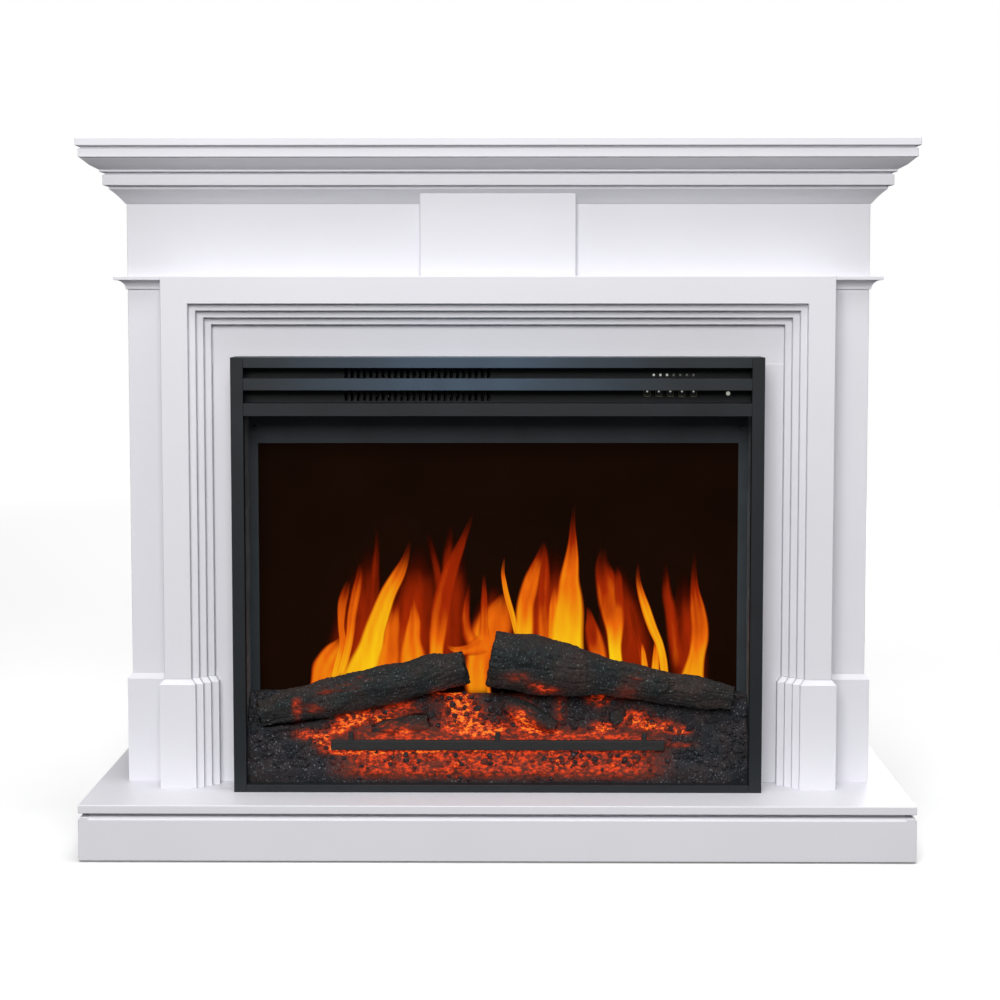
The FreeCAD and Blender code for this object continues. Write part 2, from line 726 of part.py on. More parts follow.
def stepped_frame():
    inner = frame_inner
    for side, word in SIDES:
        leg = body(f"frame_{word}")
        outline = [(frame_half * side, body_front), (frame_half * side, frame_front)]
        outline += stair(side, frame_half, frame_front, step_back)
        outline.append((inner * side, body_front))
        pad(leg, "XY", outline, slope_top, frame_height)
        waste = [
            (frame_half * side, frame_height), ((inner - 1) * side, frame_inner_top - 1),
            ((inner - 1) * side, frame_height),
        ]
        pocket(leg, "XZ", waste, frame_front - 1, body_front + 1)
        node(f"frame_{word}", leg)

    head = body("frame_top")
    outline = [(body_front, frame_height), (frame_front, frame_height)]
    for level, depth in stair(1, frame_height, frame_front, step_back):
        outline.append((depth, level))
    outline.append((body_front, frame_inner_top))
    pad(head, "YZ", outline, -frame_half, frame_half)
    for side, _ in SIDES:
        waste = [
            (frame_half * side, frame_height), ((inner - 1) * side, frame_inner_top - 1),
            ((frame_half + 1) * side, frame_inner_top - 1),
            ((frame_half + 1) * side, frame_height),
        ]
        pocket(head, "XZ", waste, frame_front - 1, body_front + 1)
    node("frame_top", head)


def inner_panels():
    inner = frame_inner
    deep = (panel_front, body_front)
    panels = []
    for side, _ in SIDES:
        across = sided(side, opening_half, inner)
        panels.append(box("panel", across, deep, (hearth_height, opening_top)))
    top = (opening_top, frame_inner_top)
    panels.append(box("panel", (-inner, inner), deep, top))
    return panels


def plinths():
    """Blocks under the stepped legs: the leg's own section, grown, with a sloped top."""
    inner = frame_inner
    for side, word in SIDES:
        def section(grow, side=side):
            outer = frame_half + grow
            points = [(outer * side, body_front), (outer * side, frame_front - grow)]
            points += stair(side, outer - grow * 2, frame_front - grow, step_back)
            points.append(((inner - grow) * side, panel_front))
            points.append((inner * side, panel_front))
            points.append((inner * side, body_front))
            return points
        block = body(f"plinth_{word}")
        loft(block, "XY", [
            (section(plinth_margin), hearth_height),
            (section(plinth_margin), plinth_top),
            (section(plinth_lip), slope_top),
        ])
        node(f"plinth_{word}", block)


def skirtings():
    """Thin boards that wrap the foot of each pilaster, with the plinths' slope."""
    near = frame_half + plinth_margin
    boards = []
    for side, _ in SIDES:
        def section(grow, side=side):
            outer = (body_half + grow) * side
            return [
                (near * side, body_front), (near * side, body_front - grow),
                (outer, body_front - grow), (outer, back), (body_half * side, back),
                (body_half * side, body_front),
            ]
        wrap = body("skirting")
        loft(wrap, "XY", [
            (section(plinth_margin), hearth_height),
            (section(plinth_margin), plinth_top),
            (section(plinth_lip), slope_top),
        ])
        boards.append(wrap)
    node("skirtings", group("skirtings_group", boards))


def cap_mouldings():
    """The moulding at the head of each pilaster, round its face and its side."""
    foot = frame_height - cap_height
    step = foot + cap_cove
    root = cap_projection - 2 - cap_cove
    lengths = []
    for side, _ in SIDES:
        def outline(place, centre):
            return [
                (place(0), foot), (place(root), foot, ((centre, foot), cap_cove)),
                (place(root + cap_cove), step), (place(cap_projection), step),
                (place(cap_projection), frame_height), (place(0), frame_height),
            ]
        corner = body_half + cap_projection + 1
        nose = body_front - cap_projection - 1
        face = body("cap_face")
        forward = lambda out: body_front - out
        low, high = (frame_half, corner - 1) if side > 0 else (-corner + 1, -frame_half)
        pad(face, "YZ", outline(forward, forward(root + cap_cove)), low, high)
        waste = [(body_half * side, body_front), (corner * side, nose), (corner * side, body_front)]
        pocket(face, "XY", waste, foot - 1, frame_height + 1)
        run = body("cap_side")
        outward = lambda out, side=side: (body_half + out) * side
        pad(run, "XZ", outline(outward, outward(root + cap_cove)), nose + 1, back)
        waste = [(body_half * side, body_front), (corner * side, nose), (body_half * side, nose)]
        pocket(run, "XY", waste, foot - 1, frame_height + 1)
        lengths += [face, run]
    node("cap_mouldings", group("cap_mouldings_group", lengths))


def key_block(cove):
    """The raised block in the middle of the frieze, scribed to the cove above it."""
    block = body("key_body")
    half = key_width / 2
    face = body_front - key_thickness
    outline = [
        (-half, body_front), (-half, face + key_edge), (-half + key_edge, face),
        (half - key_edge, face), (half, face + key_edge), (half, body_front),
    ]
    pad(block, "XY", outline, frame_height, cove_foot + key_rise)
    node("key_block", cut("key_block_cut", block, cove))


# ---------------------------------------------------------------- insert casing and trim

def casing():
    deep = (trim_front + sheet_steel, insert_back - sheet_steel)
    walls = []
    for side, _ in SIDES:
        across = sided(side, casing_inner, casing_half)
        walls.append(box("casing_side", across, deep, (hearth_height, casing_top)))
    node("casing_sides", group("casing_sides_group", walls))
    inner = (-casing_inner, casing_inner)
    decks = []
    for name, front, level in (
        ("floor", foot_back, (hearth_height, fire_floor)),
        ("divider", bezel_face + sheet_steel, (bay_foot, bay_foot + bay_floor)),
        ("top", vent_face + sheet_steel, (bay_top, casing_top)),
    ):
        decks.append(box(f"casing_{name}", inner, (front, deep[1]), level))
    node("casing_decks", group("casing_decks_group", decks))
    cover = body("back_cover")
    across = (-casing_half, casing_half)
    outline = rectangle(across, (hearth_height, casing_top))
    pad(cover, "XZ", outline, deep[1], insert_back)
    first = -back_slot_pitch * (BACK_SLOTS - 1) / 2
    across = (first - back_slot_width / 2, first + back_slot_width / 2)
    level = (casing_top - back_slot_drop - back_slot_height, casing_top - back_slot_drop)
    vent = pocket(cover, "XZ", rectangle(across, level), deep[1] - 1, insert_back + 1)
    repeat(cover, vent, "X", back_slot_pitch, BACK_SLOTS)
    low = [gland_across, deep[1] - 1, gland_level]
    hole = rod("lead_hole", "y", low, gland_bore, sheet_steel + 2)
    node("casing_back", cut("casing_back_cut", cover, hole))


def trim():
    level = (hearth_height, insert_top)
    deep = (trim_front, panel_front)
    for side, word in SIDES:
        across = sided(side, rail_half, insert_half)
        shell = box("rail_shell", across, deep, level)
        hollow = (across[0] + sheet_steel, across[1] - sheet_steel)
        inside = (deep[0] + sheet_steel, deep[1] + 1)
        open_foot = (level[0] - 1, level[1] - sheet_steel)
        void = box("rail_void", hollow, inside, open_foot)
        web = sided(side, rail_half - 1, rail_half + sheet_steel)
        relief = box("rail_relief", web, (foot_back, deep[1] + 1), open_foot)
        node(f"trim_{word}", cut(f"trim_{word}_cut", shell, void, relief))
    foot = body("trim_bottom")
    top = hearth_height + trim_foot
    outline = channel((trim_front, foot_back), (hearth_height, top))
    pad(foot, "YZ", outline, -rail_half, rail_half)
    node("trim_bottom", foot)


def channel(deep, level):
    """A sheet folded into a channel that is open to the back."""
    inside = deep[0] + sheet_steel
    low, high = level[0] + sheet_steel, level[1] - sheet_steel
    return [
        (deep[0], level[0]), (deep[1], level[0]), (deep[1], low), (inside, low),
        (inside, high), (deep[1], high), (deep[1], level[1]), (deep[0], level[1]),
    ]


def louvres():
    """Three folded bars across the head of the insert."""
    across = (-rail_half, rail_half)
    inside = trim_front + sheet_steel
    top = body("louvre_top")
    foot = insert_top - top_bar
    lap = trim_front + top_bar_lap
    outline = [
        (trim_front, foot), (lap, foot), (lap, foot + sheet_steel), (inside, foot + sheet_steel),
        (inside, insert_top - sheet_steel), (panel_front, insert_top - sheet_steel),
        (panel_front, insert_top), (trim_front, insert_top),
    ]
    pad(top, "YZ", outline, *across)
    node("louvre_top", top)

    middle = body("louvre_middle")
    deep = (trim_front, trim_front + middle_bar_depth)
    outline = channel(deep, (middle_top - middle_bar, middle_top))
    pad(middle, "YZ", outline, *across)
    node("louvre_middle", middle)

    bottom = body("louvre_bottom")
    shelf = bay_foot + sheet_steel
    outline = [
        (trim_front, bay_foot), (bezel_face, bay_foot), (bezel_face, shelf), (inside, shelf),
        (inside, bottom_top - sheet_steel), (vent_face, bottom_top - sheet_steel),
        (vent_face, bottom_top), (trim_front, bottom_top),
    ]
    pad(bottom, "YZ", outline, *across)
    node("louvre_bottom", bottom)


def button_middle(index):
    return button_first + button_pitch * index


def vent_panel():
    """The recessed panel behind the bars, with two rows of slots and the buttons' holes."""
    panel = body("vent_panel")
    deep = (vent_face, vent_face + sheet_steel)
    foot = bay_foot + sheet_steel
    across = (-casing_inner, casing_inner)
    pad(panel, "XZ", rectangle(across, (foot, insert_top - sheet_steel)), *deep)
    through = (deep[0] - 1, deep[1] + 1)
    slot = (slot_first - slot_width / 2, slot_first + slot_width / 2)
    upper = (middle_top - 2, middle_top + upper_gap - 1)
    lower = (bottom_top + 2, bottom_top + lower_gap)
    for level in (upper, lower):
        hole = pocket(panel, "XZ", rectangle(slot, level), *through)
        repeat(panel, hole, "X", slot_pitch, FRONT_SLOTS)
    half = button_width / 2 + button_clearance
    across = (button_first - half, button_first + half)
    level = (button_foot - button_clearance, button_foot + button_height + button_clearance)
    hole = pocket(panel, "XZ", rectangle(across, level), *through)
    repeat(panel, hole, "X", button_pitch, BUTTONS)
    node("vent_panel", panel)


button_foot = bottom_top + button_level
button_face = vent_face - button_proud
flange_front = vent_face + sheet_steel + moving_gap
flange_back = flange_front + flange_thickness
stem_back = flange_back + stem_length
switch_front = stem_back + button_travel + moving_gap
pcb_front = switch_front + switch_depth


def buttons():
    """Five push buttons, each a cap with a flange behind the panel and a stem."""
    middle_up = button_foot + button_height / 2
    for index in range(BUTTONS):
        centre = button_middle(index)
        key = body(f"button_{index + 1}")
        half = button_width / 2
        level = (button_foot, button_foot + button_height)
        round_off = button_chamfer
        outline = [
            (centre - half, level[1]), (centre - half, level[0] + round_off),
            (centre - half + round_off, level[0]), (centre + half - round_off, level[0]),
            (centre + half, level[0] + round_off), (centre + half, level[1]),
        ]
        pad(key, "XZ", outline, button_face, flange_front)
        wide = (centre - half - flange_lap, centre + half + flange_lap)
        tall = (level[0] - flange_lap, level[1] + flange_lap)
        pad(key, "XZ", rectangle(wide, tall), flange_front, flange_back)
        arm = stem_side / 2
        across, tall = (centre - arm, centre + arm), (middle_up - arm, middle_up + arm)
        pad(key, "XZ", rectangle(across, tall), flange_back, stem_back)
        node(f"button_{index + 1}", key)


def control_board():
    margin = button_pitch
    across = (button_middle(0) - margin, button_middle(BUTTONS - 1) + margin * 3)
    level = (bay_foot + bay_floor, bay_top)
    pieces = [box("pcb", across, (pcb_front, pcb_front + board_thickness), level)]
    middle_up = button_foot + button_height / 2
    for index in range(BUTTONS):
        centre = button_middle(index)
        half = switch_side / 2
        wide, tall = (centre - half, centre + half), (middle_up - half, middle_up + half)
        pieces.append(box("switch", wide, (switch_front, pcb_front), tall))
    node("control_board", fuse("control_board_fuse", *pieces))


def indicator_lights():
    """Seven small lights above the buttons and the receiver for the remote control."""
    pieces = []
    level = middle_top + lamp_level
    pitch = button_pitch * (BUTTONS - 1) / LAMPS
    for index in range(LAMPS):
        low = [button_first + pitch * (index + 1), vent_face - lamp_height, level]
        pieces.append(rod("light", "y", low, lamp_radius, lamp_height))
    low = [button_middle(LAMPS), vent_face - lamp_height, button_foot + button_height / 2]
    pieces.append(rod("receiver", "y", low, receiver_radius, lamp_height))
    node("indicator_lights", group("indicator_lights_group", pieces))


def window():
    """The bezel's four strips, the screws in its head and the flame screen behind it."""
    deep = (bezel_face, bezel_face + sheet_steel)
    head = bay_foot - bezel_head
    sill = fire_floor + bezel_foot
    inner = (-casing_inner, casing_inner)
    strips = [
        box("bezel_head", inner, deep, (head, bay_foot)),
        box("bezel_foot", inner, deep, (fire_floor, sill)),
    ]
    screws = []
    for side, _ in SIDES:
        across = sided(side, casing_inner - bezel_side, casing_inner)
        strips.append(box("bezel_side", across, deep, (sill, head)))
        out = casing_inner - bezel_side + screw_radius
        low = [out * side, deep[0] - screw_height, head + bezel_head / 2]
        screws.append(rod("bezel_screw", "y", low, screw_radius, screw_height))
    node("screen_bezel", group("screen_bezel_group", strips))
    node("bezel_screws", group("bezel_screws_group", screws))
    screen_face = bezel_face + sheet_steel + screen_gap
    deep = (screen_face, screen_face + screen_thickness)
    across = casing_inner - ember_clearance
    level = (fire_floor, bay_foot - ember_clearance)
    node("flame_screen", box("flame_screen", (-across, across), deep, level))


# ---------------------------------------------------------------- the fire

def log(name, length, radii, low, tilt, lean=0):
    """A log turned about its length; radii are given at even spaces along it."""
    turned = body(name)
    last = len(radii) - 1
    outline = [(0, 0)]
    for index, radius in enumerate(radii):
        outline.append((length * (index / last), radius))
    outline.append((length, 0))
    spin = turned.newObject("PartDesign::Revolution", f"{name}_turned")
    spin.Profile = sketch(turned, "XZ", outline)
    line = next(item for item in turned.Origin.OriginFeatures if item.Role == "X_Axis")
    spin.ReferenceAxis = (line, [""])
    spin.Angle = 360
    turned.Placement = FreeCAD.Placement(Vector(), Rotation(Vector(0, 1, 0), 1))
    bind(turned, "Placement.Rotation.Angle", tilt)
    put(turned, low)
    return turned


def slope(fall, length):
    """The angle, in degrees, at which a piece of this length falls this far."""
    angle = math.degrees(math.asin(fall.number / length.number))
    return Size(angle, f"asin({fall.text} / {length.text})")


def logs():
    thick = left_log_radius
    length = casing_inner - log_inset - left_log_gap
    left = log(
        "log_left", length, [thick * share for share in (0.7, 0.92, 0.96, 1.0, 0.98, 0.86)],
        [log_inset - casing_inner, bezel_face - log_forward, fire_floor + left_log_level],
        slope(-left_log_rise, length),
    )
    thick = right_log_radius
    length = casing_inner + right_log_reach - log_inset
    right = log(
        "log_right", length,
        [thick * share for share in (0.96, 1.0, 0.86, 0.64, 0.57, 0.56, 0.42)],
        [-right_log_reach, bezel_face - thick_log_forward, fire_floor + right_log_level],
        slope(right_log_drop, length),
    )
    thick = branch_radius
    branch = log(
        "log_branch", branch_length,
        [thick * share for share in (0.7, 1.0, 1.05, 0.9, 0.6)],
        [branch_start, bezel_face - branch_forward, fire_floor + branch_level], branch_tilt,
    )
    thick = low_log_radius
    low = log(
        "log_low", low_log_length,
        [thick * share for share in (0.8, 0.95, 1.0, 0.97, 0.9)],
        [low_log_gap - peg_across, bezel_face - low_log_forward, fire_floor + low_log_level],
        slope(-low_log_rise, low_log_length),
    )
    for piece in (left, right, branch, low):
        node(piece.Name, piece)
    return left, right, branch, low


def grate():
    """A bar across the embers with three pegs and three arms into the bed."""
    half = casing_inner - grate_inset
    foot = hearth_height + grate_level
    level = (foot, foot + grate_height)
    front = foot_back + grate_gap
    deep = (front, front + grate_side)
    pieces = [box("bar", (-half, half), deep, level)]
    for middle in (-peg_across, Size.of(0), peg_across):
        across = (middle - peg_width / 2, middle + peg_width / 2)
        top = level[1] + peg_height
        pieces.append(box("peg", across, deep, (level[0], top)))
        across = (middle - arm_width / 2, middle + arm_width / 2)
        pieces.append(box("arm", across, (deep[1], deep[1] + arm_length), level))
    return node("grate_bar", fuse("grate_bar_fuse", *pieces))


def ember_bed(resting):
    """A mound, lower in the middle, hollowed for what rests on it and for its lamps."""
    mound = body("ember_mound")
    half = casing_inner - ember_clearance
    front = foot_back + 0.5
    rear = bezel_face - ember_clearance
    sections = []
    for share, rise in ((-1, 1), (-0.72, 0.9), (-0.3, 0.2), (0.3, 0), (0.72, 0.6), (1, 0.9)):
        high = fire_floor + ember_middle + (ember_end - ember_middle) * rise
        toe = fire_floor + ember_toe
        rise_up = (high - toe) / 2
        outline = [
            (front, fire_floor), (rear, fire_floor), (rear, high), (rear - ember_depth * 0.4, high),
            (front + ember_depth * 0.28, toe + rise_up), (front, toe),
        ]
        sections.append((outline, half * share))
    loft(mound, "YZ", sections)
    reach = half * 0.72
    strip_deep = (front + bulb_inset, front + bulb_inset + bulb_strip_width)
    groove_deep = (strip_deep[0] - bulb_margin, strip_deep[1] + bulb_margin)
    bulb_foot = fire_floor + bulb_strip
    groove_top = bulb_foot + bulb_radius * 2 + bulb_margin
    groove = box("lamp_groove", (-reach, reach), groove_deep, (fire_floor - 1, groove_top))
    node("ember_bed", cut("ember_bed_cut", mound, groove, *resting))
    across = (bulb_margin - reach, reach - bulb_margin)
    strip = [box("strip", across, strip_deep, (fire_floor, bulb_foot))]
    for index in range(BULBS):
        middle = (reach - bulb_margin * 10) * (2 * index / (BULBS - 1) - 1)
        low = [middle, (strip_deep[0] + strip_deep[1]) / 2, bulb_foot]
        strip.append(rod("lamp", "z", low, bulb_radius, bulb_radius))
    node("ember_lamps", fuse("ember_lamps_fuse", *strip))


# ---------------------------------------------------------------- flicker rod and blower

def bored(name, axis, low, radius, length, bore):
    """A round piece with a bore right through it."""
    solid = rod(f"{name}_outer", axis, low, radius, length)
    start = list(low)
    place = "xyz".index(axis)
    start[place] = start[place] - 1
    hole = rod(f"{name}_bore", axis, start, bore, length + 2)
    return cut(f"{name}_cut", solid, hole)


def flicker():
    """A shaft with reflecting stars that turns behind the foot of the screen."""
    half = casing_inner - flicker_inset
    middle = (bezel_face + flicker_behind, fire_floor + flicker_level)
    stub = bearing_thickness * 2
    length = (half + stub) * 2
    spindle = body("flicker_rod")
    turn(spindle, [(0, 0), (0, shaft_radius), (length, shaft_radius), (length, 0)])
    star = []
    for index in range(STAR_POINTS * 2):
        reach = flicker_radius if index % 2 == 0 else flicker_radius * 0.3
        angle = math.pi * index / STAR_POINTS
        star.append((reach * math.cos(angle), reach * math.sin(angle)))
    pitch = (half - star_inset) * 2 / (FLICKER_STARS - 1)
    start = stub + star_inset
    first = pad(spindle, "YZ", star, start, start + star_thickness)
    repeat(spindle, first, "X", pitch, FLICKER_STARS)
    put(spindle, [-half - stub, middle[0], middle[1]])
    node("flicker_rod", spindle)

    bearings = []
    bore = shaft_radius + shaft_clearance
    for side, _ in SIDES:
        low = half if side > 0 else -half - bearing_thickness
        deep = (middle[0] - bearing_width / 2, middle[0] + bearing_width / 2)
        top = middle[1] + bearing_width / 2
        post = box("bearing_post", (low, low + bearing_thickness), deep, (fire_floor, top))
        hole = rod("bearing_hole", "x", [low - 1, *middle], bore, bearing_thickness + 2)
        bearings.append(cut("bearing", post, hole))
    node("rod_bearings", group("rod_bearings_group", bearings))
    low = [half + bearing_thickness, *middle]
    return bored("flicker_motor", "x", low, motor_radius, motor_length, bore)


def blower():
    """A drum fan in the bay above the fire: rotor, housing, end plates and motor."""
    start = slot_first
    floor = bay_foot + bay_floor
    outer = (bay_top - floor) / 2 - housing_clearance
    reach = outer - sheet_steel
    radius = reach - housing_gap
    middle = (vent_face + rotor_behind, (floor + bay_top) / 2)
    rotor = body("blower_rotor")
    ends = [(0, 0), (0, radius), (disc_thickness, radius), (disc_thickness, 0)]
    for shift in (0, rotor_length - disc_thickness):
        outline = [(along + shift, out) for along, out in ends]
        turn(rotor, outline)
    stub = rotor_stub
    shaft_end = rotor_length + stub
    turn(rotor, [(-stub, 0), (-stub, shaft_radius), (shaft_end, shaft_radius), (shaft_end, 0)])
    half = blade_thickness / 2
    edge = radius - half
    blade = pad(
        rotor, "YZ", rectangle((edge - blade_depth, edge), (-half, half)), Size.of(0), rotor_length)
    ring = rotor.newObject("PartDesign::PolarPattern", "rotor_ring")
    ring.Originals = [blade]
    line = next(item for item in rotor.Origin.OriginFeatures if item.Role == "X_Axis")
    ring.Axis = (line, [""])
    ring.Angle = 360
    ring.Occurrences = ROTOR_BLADES
    rotor.Tip = ring
    put(rotor, [start, middle[0], middle[1]])
    node("blower_rotor", rotor)

    low, high = start - rotor_end_gap, start + rotor_length + rotor_end_gap
    scroll = body("blower_housing")
    top = (middle[0] - radius, middle[1] + reach)
    outline = [
        (top[0], top[1]),
        (middle[0], top[1], ((middle[0], middle[1]), reach)),
        (middle[0] + reach, middle[1]),
        (middle[0] + reach, middle[1] - reach),
        (middle[0] + outer, middle[1] - reach),
        (middle[0] + outer, middle[1], ((middle[0], middle[1]), outer)),
        (middle[0], middle[1] + outer),
        (top[0], middle[1] + outer),
    ]
    pad(scroll, "YZ", outline, low, high)
    node("blower_housing", scroll)

    plates = []
    bore = shaft_radius + shaft_clearance
    for edge in (low - end_plate, high):
        deep = (middle[0] - radius, middle[0] + outer)
        level = (floor, middle[1] + outer)
        plate_box = box("end_plate", (edge, edge + end_plate), deep, level)
        hole = rod("end_hole", "x", [edge - 1, *middle], bore, end_plate + 2)
        plates.append(cut("end_plate_cut", plate_box, hole))
    node("blower_ends", group("blower_ends_group", plates))
    spot = [low - end_plate - motor_length, *middle]
    motor = bored("blower_motor", "x", spot, motor_radius, motor_length, bore)
    heating_element(low, high)
    return motor


def heating_element(low, high):
    """A finned block between the blower and the vent slots."""
    heater = body("heating_element")
    deep = (vent_face + heater_behind, vent_face + heater_behind + heater_thickness)
    level = (bay_foot + bay_floor, bay_top)
    pad(heater, "XZ", rectangle((low, high), level), *deep)
    fin = (low + heater_margin - 1, low + heater_margin - 1 + slot_width)
    open_level = (level[0] + heater_margin, level[1] - heater_margin)
    slot = pocket(heater, "XZ", rectangle(fin, open_level), deep[0] - 1, deep[1] + 1)
    repeat(heater, slot, "X", slot_pitch, FRONT_SLOTS)
    node("heating_element", heater)


def turn(holder, outline):
    """Turn an outline about the body's X axis."""
    spin = holder.newObject("PartDesign::Revolution", f"{holder.Name}_turned")
    spin.Profile = sketch(holder, "XZ", outline)
    line = next(item for item in holder.Origin.OriginFeatures if item.Role == "X_Axis")
    spin.ReferenceAxis = (line, [""])
    spin.Angle = 360
    return spin


def cable_inlet():
    """The gland on the back cover where the mains lead would enter."""
    low = [gland_across, insert_back, gland_level]
    node("cable_inlet", bored("cable_inlet", "y", low, gland_radius, gland_length, gland_bore))


# ---------------------------------------------------------------- assembly and output

def build():
    glides()
    hearth()
    carcass()
    wall_brackets()
    cove = cove_moulding()
    cornice()
    stepped_frame()
    node("inner_panels", group("inner_panels_group", inner_panels()))
    plinths()
    skirtings()
    cap_mouldings()
    key_block(cove)
    casing()
    trim()
    louvres()
    vent_panel()
    buttons()
    control_board()
    indicator_lights()
    window()
    resting = logs()
    ember_bed([*resting, grate()])
    node("motors", group("motors_group", [flicker(), blower()]))
    cable_inlet()


def check():
    """Stop if any object failed or any sub-part's shape is missing or faulty."""
    for thing in DOC.Objects:
        bad = [state for state in thing.State if state in ("Invalid", "Error")]
        if bad:
            raise RuntimeError(f"{thing.Name} ({thing.Label}) is {bad}")
    for thing in NODES:
        shape = thing.Shape
        if shape.isNull() or not shape.isValid() or not shape.Solids:
            raise RuntimeError(f"{thing.Label} has no valid solid")


def write():
    os.makedirs("parts", exist_ok=True)
    for thing in NODES:
        thing.Shape.exportStep(f"parts/{thing.Label}.step")
        print(f"{thing.Label}: {len(thing.Shape.Solids)} solid(s), {thing.Shape.Volume:.0f} mm3")
    print(f"{len(NODES)} nodes")


build()
DOC.recompute()
check()
write()
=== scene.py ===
import contextlib
import json
import math
import random

import bmesh
import bpy
import numpy as np
from mathutils import Matrix, Vector, noise

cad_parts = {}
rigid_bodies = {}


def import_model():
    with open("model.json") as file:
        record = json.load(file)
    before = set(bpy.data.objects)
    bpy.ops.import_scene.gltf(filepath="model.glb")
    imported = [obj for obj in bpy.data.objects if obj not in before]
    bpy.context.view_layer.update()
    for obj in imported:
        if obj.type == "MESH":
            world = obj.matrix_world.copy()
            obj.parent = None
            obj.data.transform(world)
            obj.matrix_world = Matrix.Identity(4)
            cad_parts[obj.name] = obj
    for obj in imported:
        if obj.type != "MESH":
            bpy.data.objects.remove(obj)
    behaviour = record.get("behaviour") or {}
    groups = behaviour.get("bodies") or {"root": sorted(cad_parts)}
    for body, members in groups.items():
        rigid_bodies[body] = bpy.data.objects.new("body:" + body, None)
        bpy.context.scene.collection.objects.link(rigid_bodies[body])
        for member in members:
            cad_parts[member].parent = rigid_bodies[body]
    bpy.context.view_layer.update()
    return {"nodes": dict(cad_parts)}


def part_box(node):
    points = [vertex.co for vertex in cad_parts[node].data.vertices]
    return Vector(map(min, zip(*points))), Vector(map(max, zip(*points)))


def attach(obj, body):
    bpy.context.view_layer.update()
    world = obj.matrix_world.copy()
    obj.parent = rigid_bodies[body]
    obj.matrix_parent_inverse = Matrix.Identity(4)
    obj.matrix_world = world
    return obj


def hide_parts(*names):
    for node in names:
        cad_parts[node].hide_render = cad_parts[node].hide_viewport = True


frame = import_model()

bl_info = {
    "name": "Electric Fireplace",
    "version": (1, 0, 0),
    "blender": (4, 5, 0),
    "location": "3D View > Sidebar > Fireplace",
    "description": "Finishes, fire and studio for an electric fireplace",
    "category": "Object",
}

MM = 0.001
ROOT = "fireplace"


# ---------------------------------------------------------------- settings

def colour(name, description, default):
    """A colour setting."""
    return bpy.props.FloatVectorProperty(
        name=name, description=description, subtype="COLOR", size=3, min=0, max=1, default=default)


def length(name, description, default):
    """A length setting, in metres."""
    return bpy.props.FloatProperty(
        name=name, description=description, default=default, min=0, precision=4, unit="LENGTH")


def power(name, description, default):
    """A light's setting, in watts."""
    return bpy.props.FloatProperty(
        name=name, description=description, default=default, min=0, unit="POWER")


class SurroundSettings(bpy.types.PropertyGroup):
    """Sizes and colours of the painted surround and of the carcass behind it."""
    lacquer: colour("Lacquer", "Satin lacquer on the boards", (0.76, 0.755, 0.80))
    board: colour("Bare board", "Fibreboard where it is left bare", (0.36, 0.25, 0.15))
    felt: colour("Felt", "Glides under the hearth", (0.035, 0.033, 0.03))
    edge: length("Edge radius", "Rounding of the lacquered edges", 0.0009)
    sheen: bpy.props.FloatProperty(
        name="Roughness", description="Roughness of the lacquer", default=0.42, min=0, max=1)


class SteelSettings(bpy.types.PropertyGroup):
    """Sizes and colours of the fire insert's metalwork and works."""
    powder: colour("Powder coat", "Black powder coat of the trim", (0.0095, 0.0122, 0.0145))
    # A lighter copy of the powder coat: painted light that makes up for the shade in the bezel's deep
    # recess
    bezel: colour("Bezel", "Black powder coat of the window bezel", (0.024, 0.031, 0.036))
    # A darker copy of the powder coat: the vent panel's own black coat with painted shade of its recess
    # behind the louvre bars
    shade: colour("Vent panel", "Black powder coat of the vent panel", (0.0045, 0.0060, 0.0085))
    # Colour of the painted reflection: a bluish sheen painted across the middle of the louvre bars
    louvre: colour("Louvre", "Blued steel in the middle of the louvre bars", (0.045, 0.075, 0.115))
    zinc: colour("Zinc", "Galvanised casing", (0.56, 0.57, 0.58))
    legend: colour("Legend", "Printed outlines of the buttons", (0.16, 0.14, 0.07))
    light: colour("Light", "Indicator lights", (0.62, 0.66, 0.58))
    edge: length("Edge radius", "Rounding of the folded steel", 0.0004)


class FireSettings(bpy.types.PropertyGroup):
    """Sizes and colours of the fire picture, the logs and the embers."""
    yellow: colour("Yellow", "Hottest part of a flame", (0.96, 0.58, 0.008))
    orange: colour("Orange", "Body of a flame", (0.80, 0.135, 0.004))
    red: colour("Red", "Tip of a flame", (0.36, 0.022, 0.002))
    char: colour("Char", "Burnt bark", (0.010, 0.014, 0.015))
    bark: colour("Bark", "Scorched wood", (0.030, 0.019, 0.016))
    glass: colour("Screen", "Unlit flame screen", (0.0098, 0.0026, 0.0004))
    grain: length("Grain", "Spacing of the points on the logs", 0.0018)
    coal: length("Coal", "Radius of a typical coal", 0.0034)
    coals: bpy.props.IntProperty(
        name="Coals", description="Loose coals on the ember bed", default=1500, min=0)


class StudioSettings(bpy.types.PropertyGroup):
    """Camera, floor and lights."""
    lens: bpy.props.FloatProperty(
        name="Lens", description="Focal length", default=84.6, min=1, unit="CAMERA")
    stand: bpy.props.FloatVectorProperty(
        name="Camera", description="Place of the camera", subtype="TRANSLATION", unit="LENGTH",
        size=3, default=(0.0288, -2.892, 0.6583))
    aim: bpy.props.FloatVectorProperty(
        name="Aim", description="Turn of the camera", subtype="EULER", unit="ROTATION",
        size=3, default=(math.radians(85.1), 0, math.radians(0.53)))
    floor: colour("Floor", "Floor of the studio", (0.86, 0.86, 0.86))
    bounce: bpy.props.FloatProperty(
        name="Bounce", description="Share of its light that the floor throws back", default=0.15,
        min=0, max=1)
    sky: bpy.props.FloatProperty(
        name="Surroundings", description="Strength of the light from all round", default=0.20, min=0)
    front: power("Front light", "Power of the soft light in front", 190)
    top: power("Top light", "Power of the soft light overhead", 72)
    back: power("Back light", "Power of the soft light behind", 110)


# ---------------------------------------------------------------- handling pieces

def take(*pieces):
    """Leave only these pieces selected, with the first one active."""
    bpy.ops.object.select_all(action="DESELECT")
    for piece in pieces:
        piece.select_set(True)
    bpy.context.view_layer.objects.active = pieces[0]


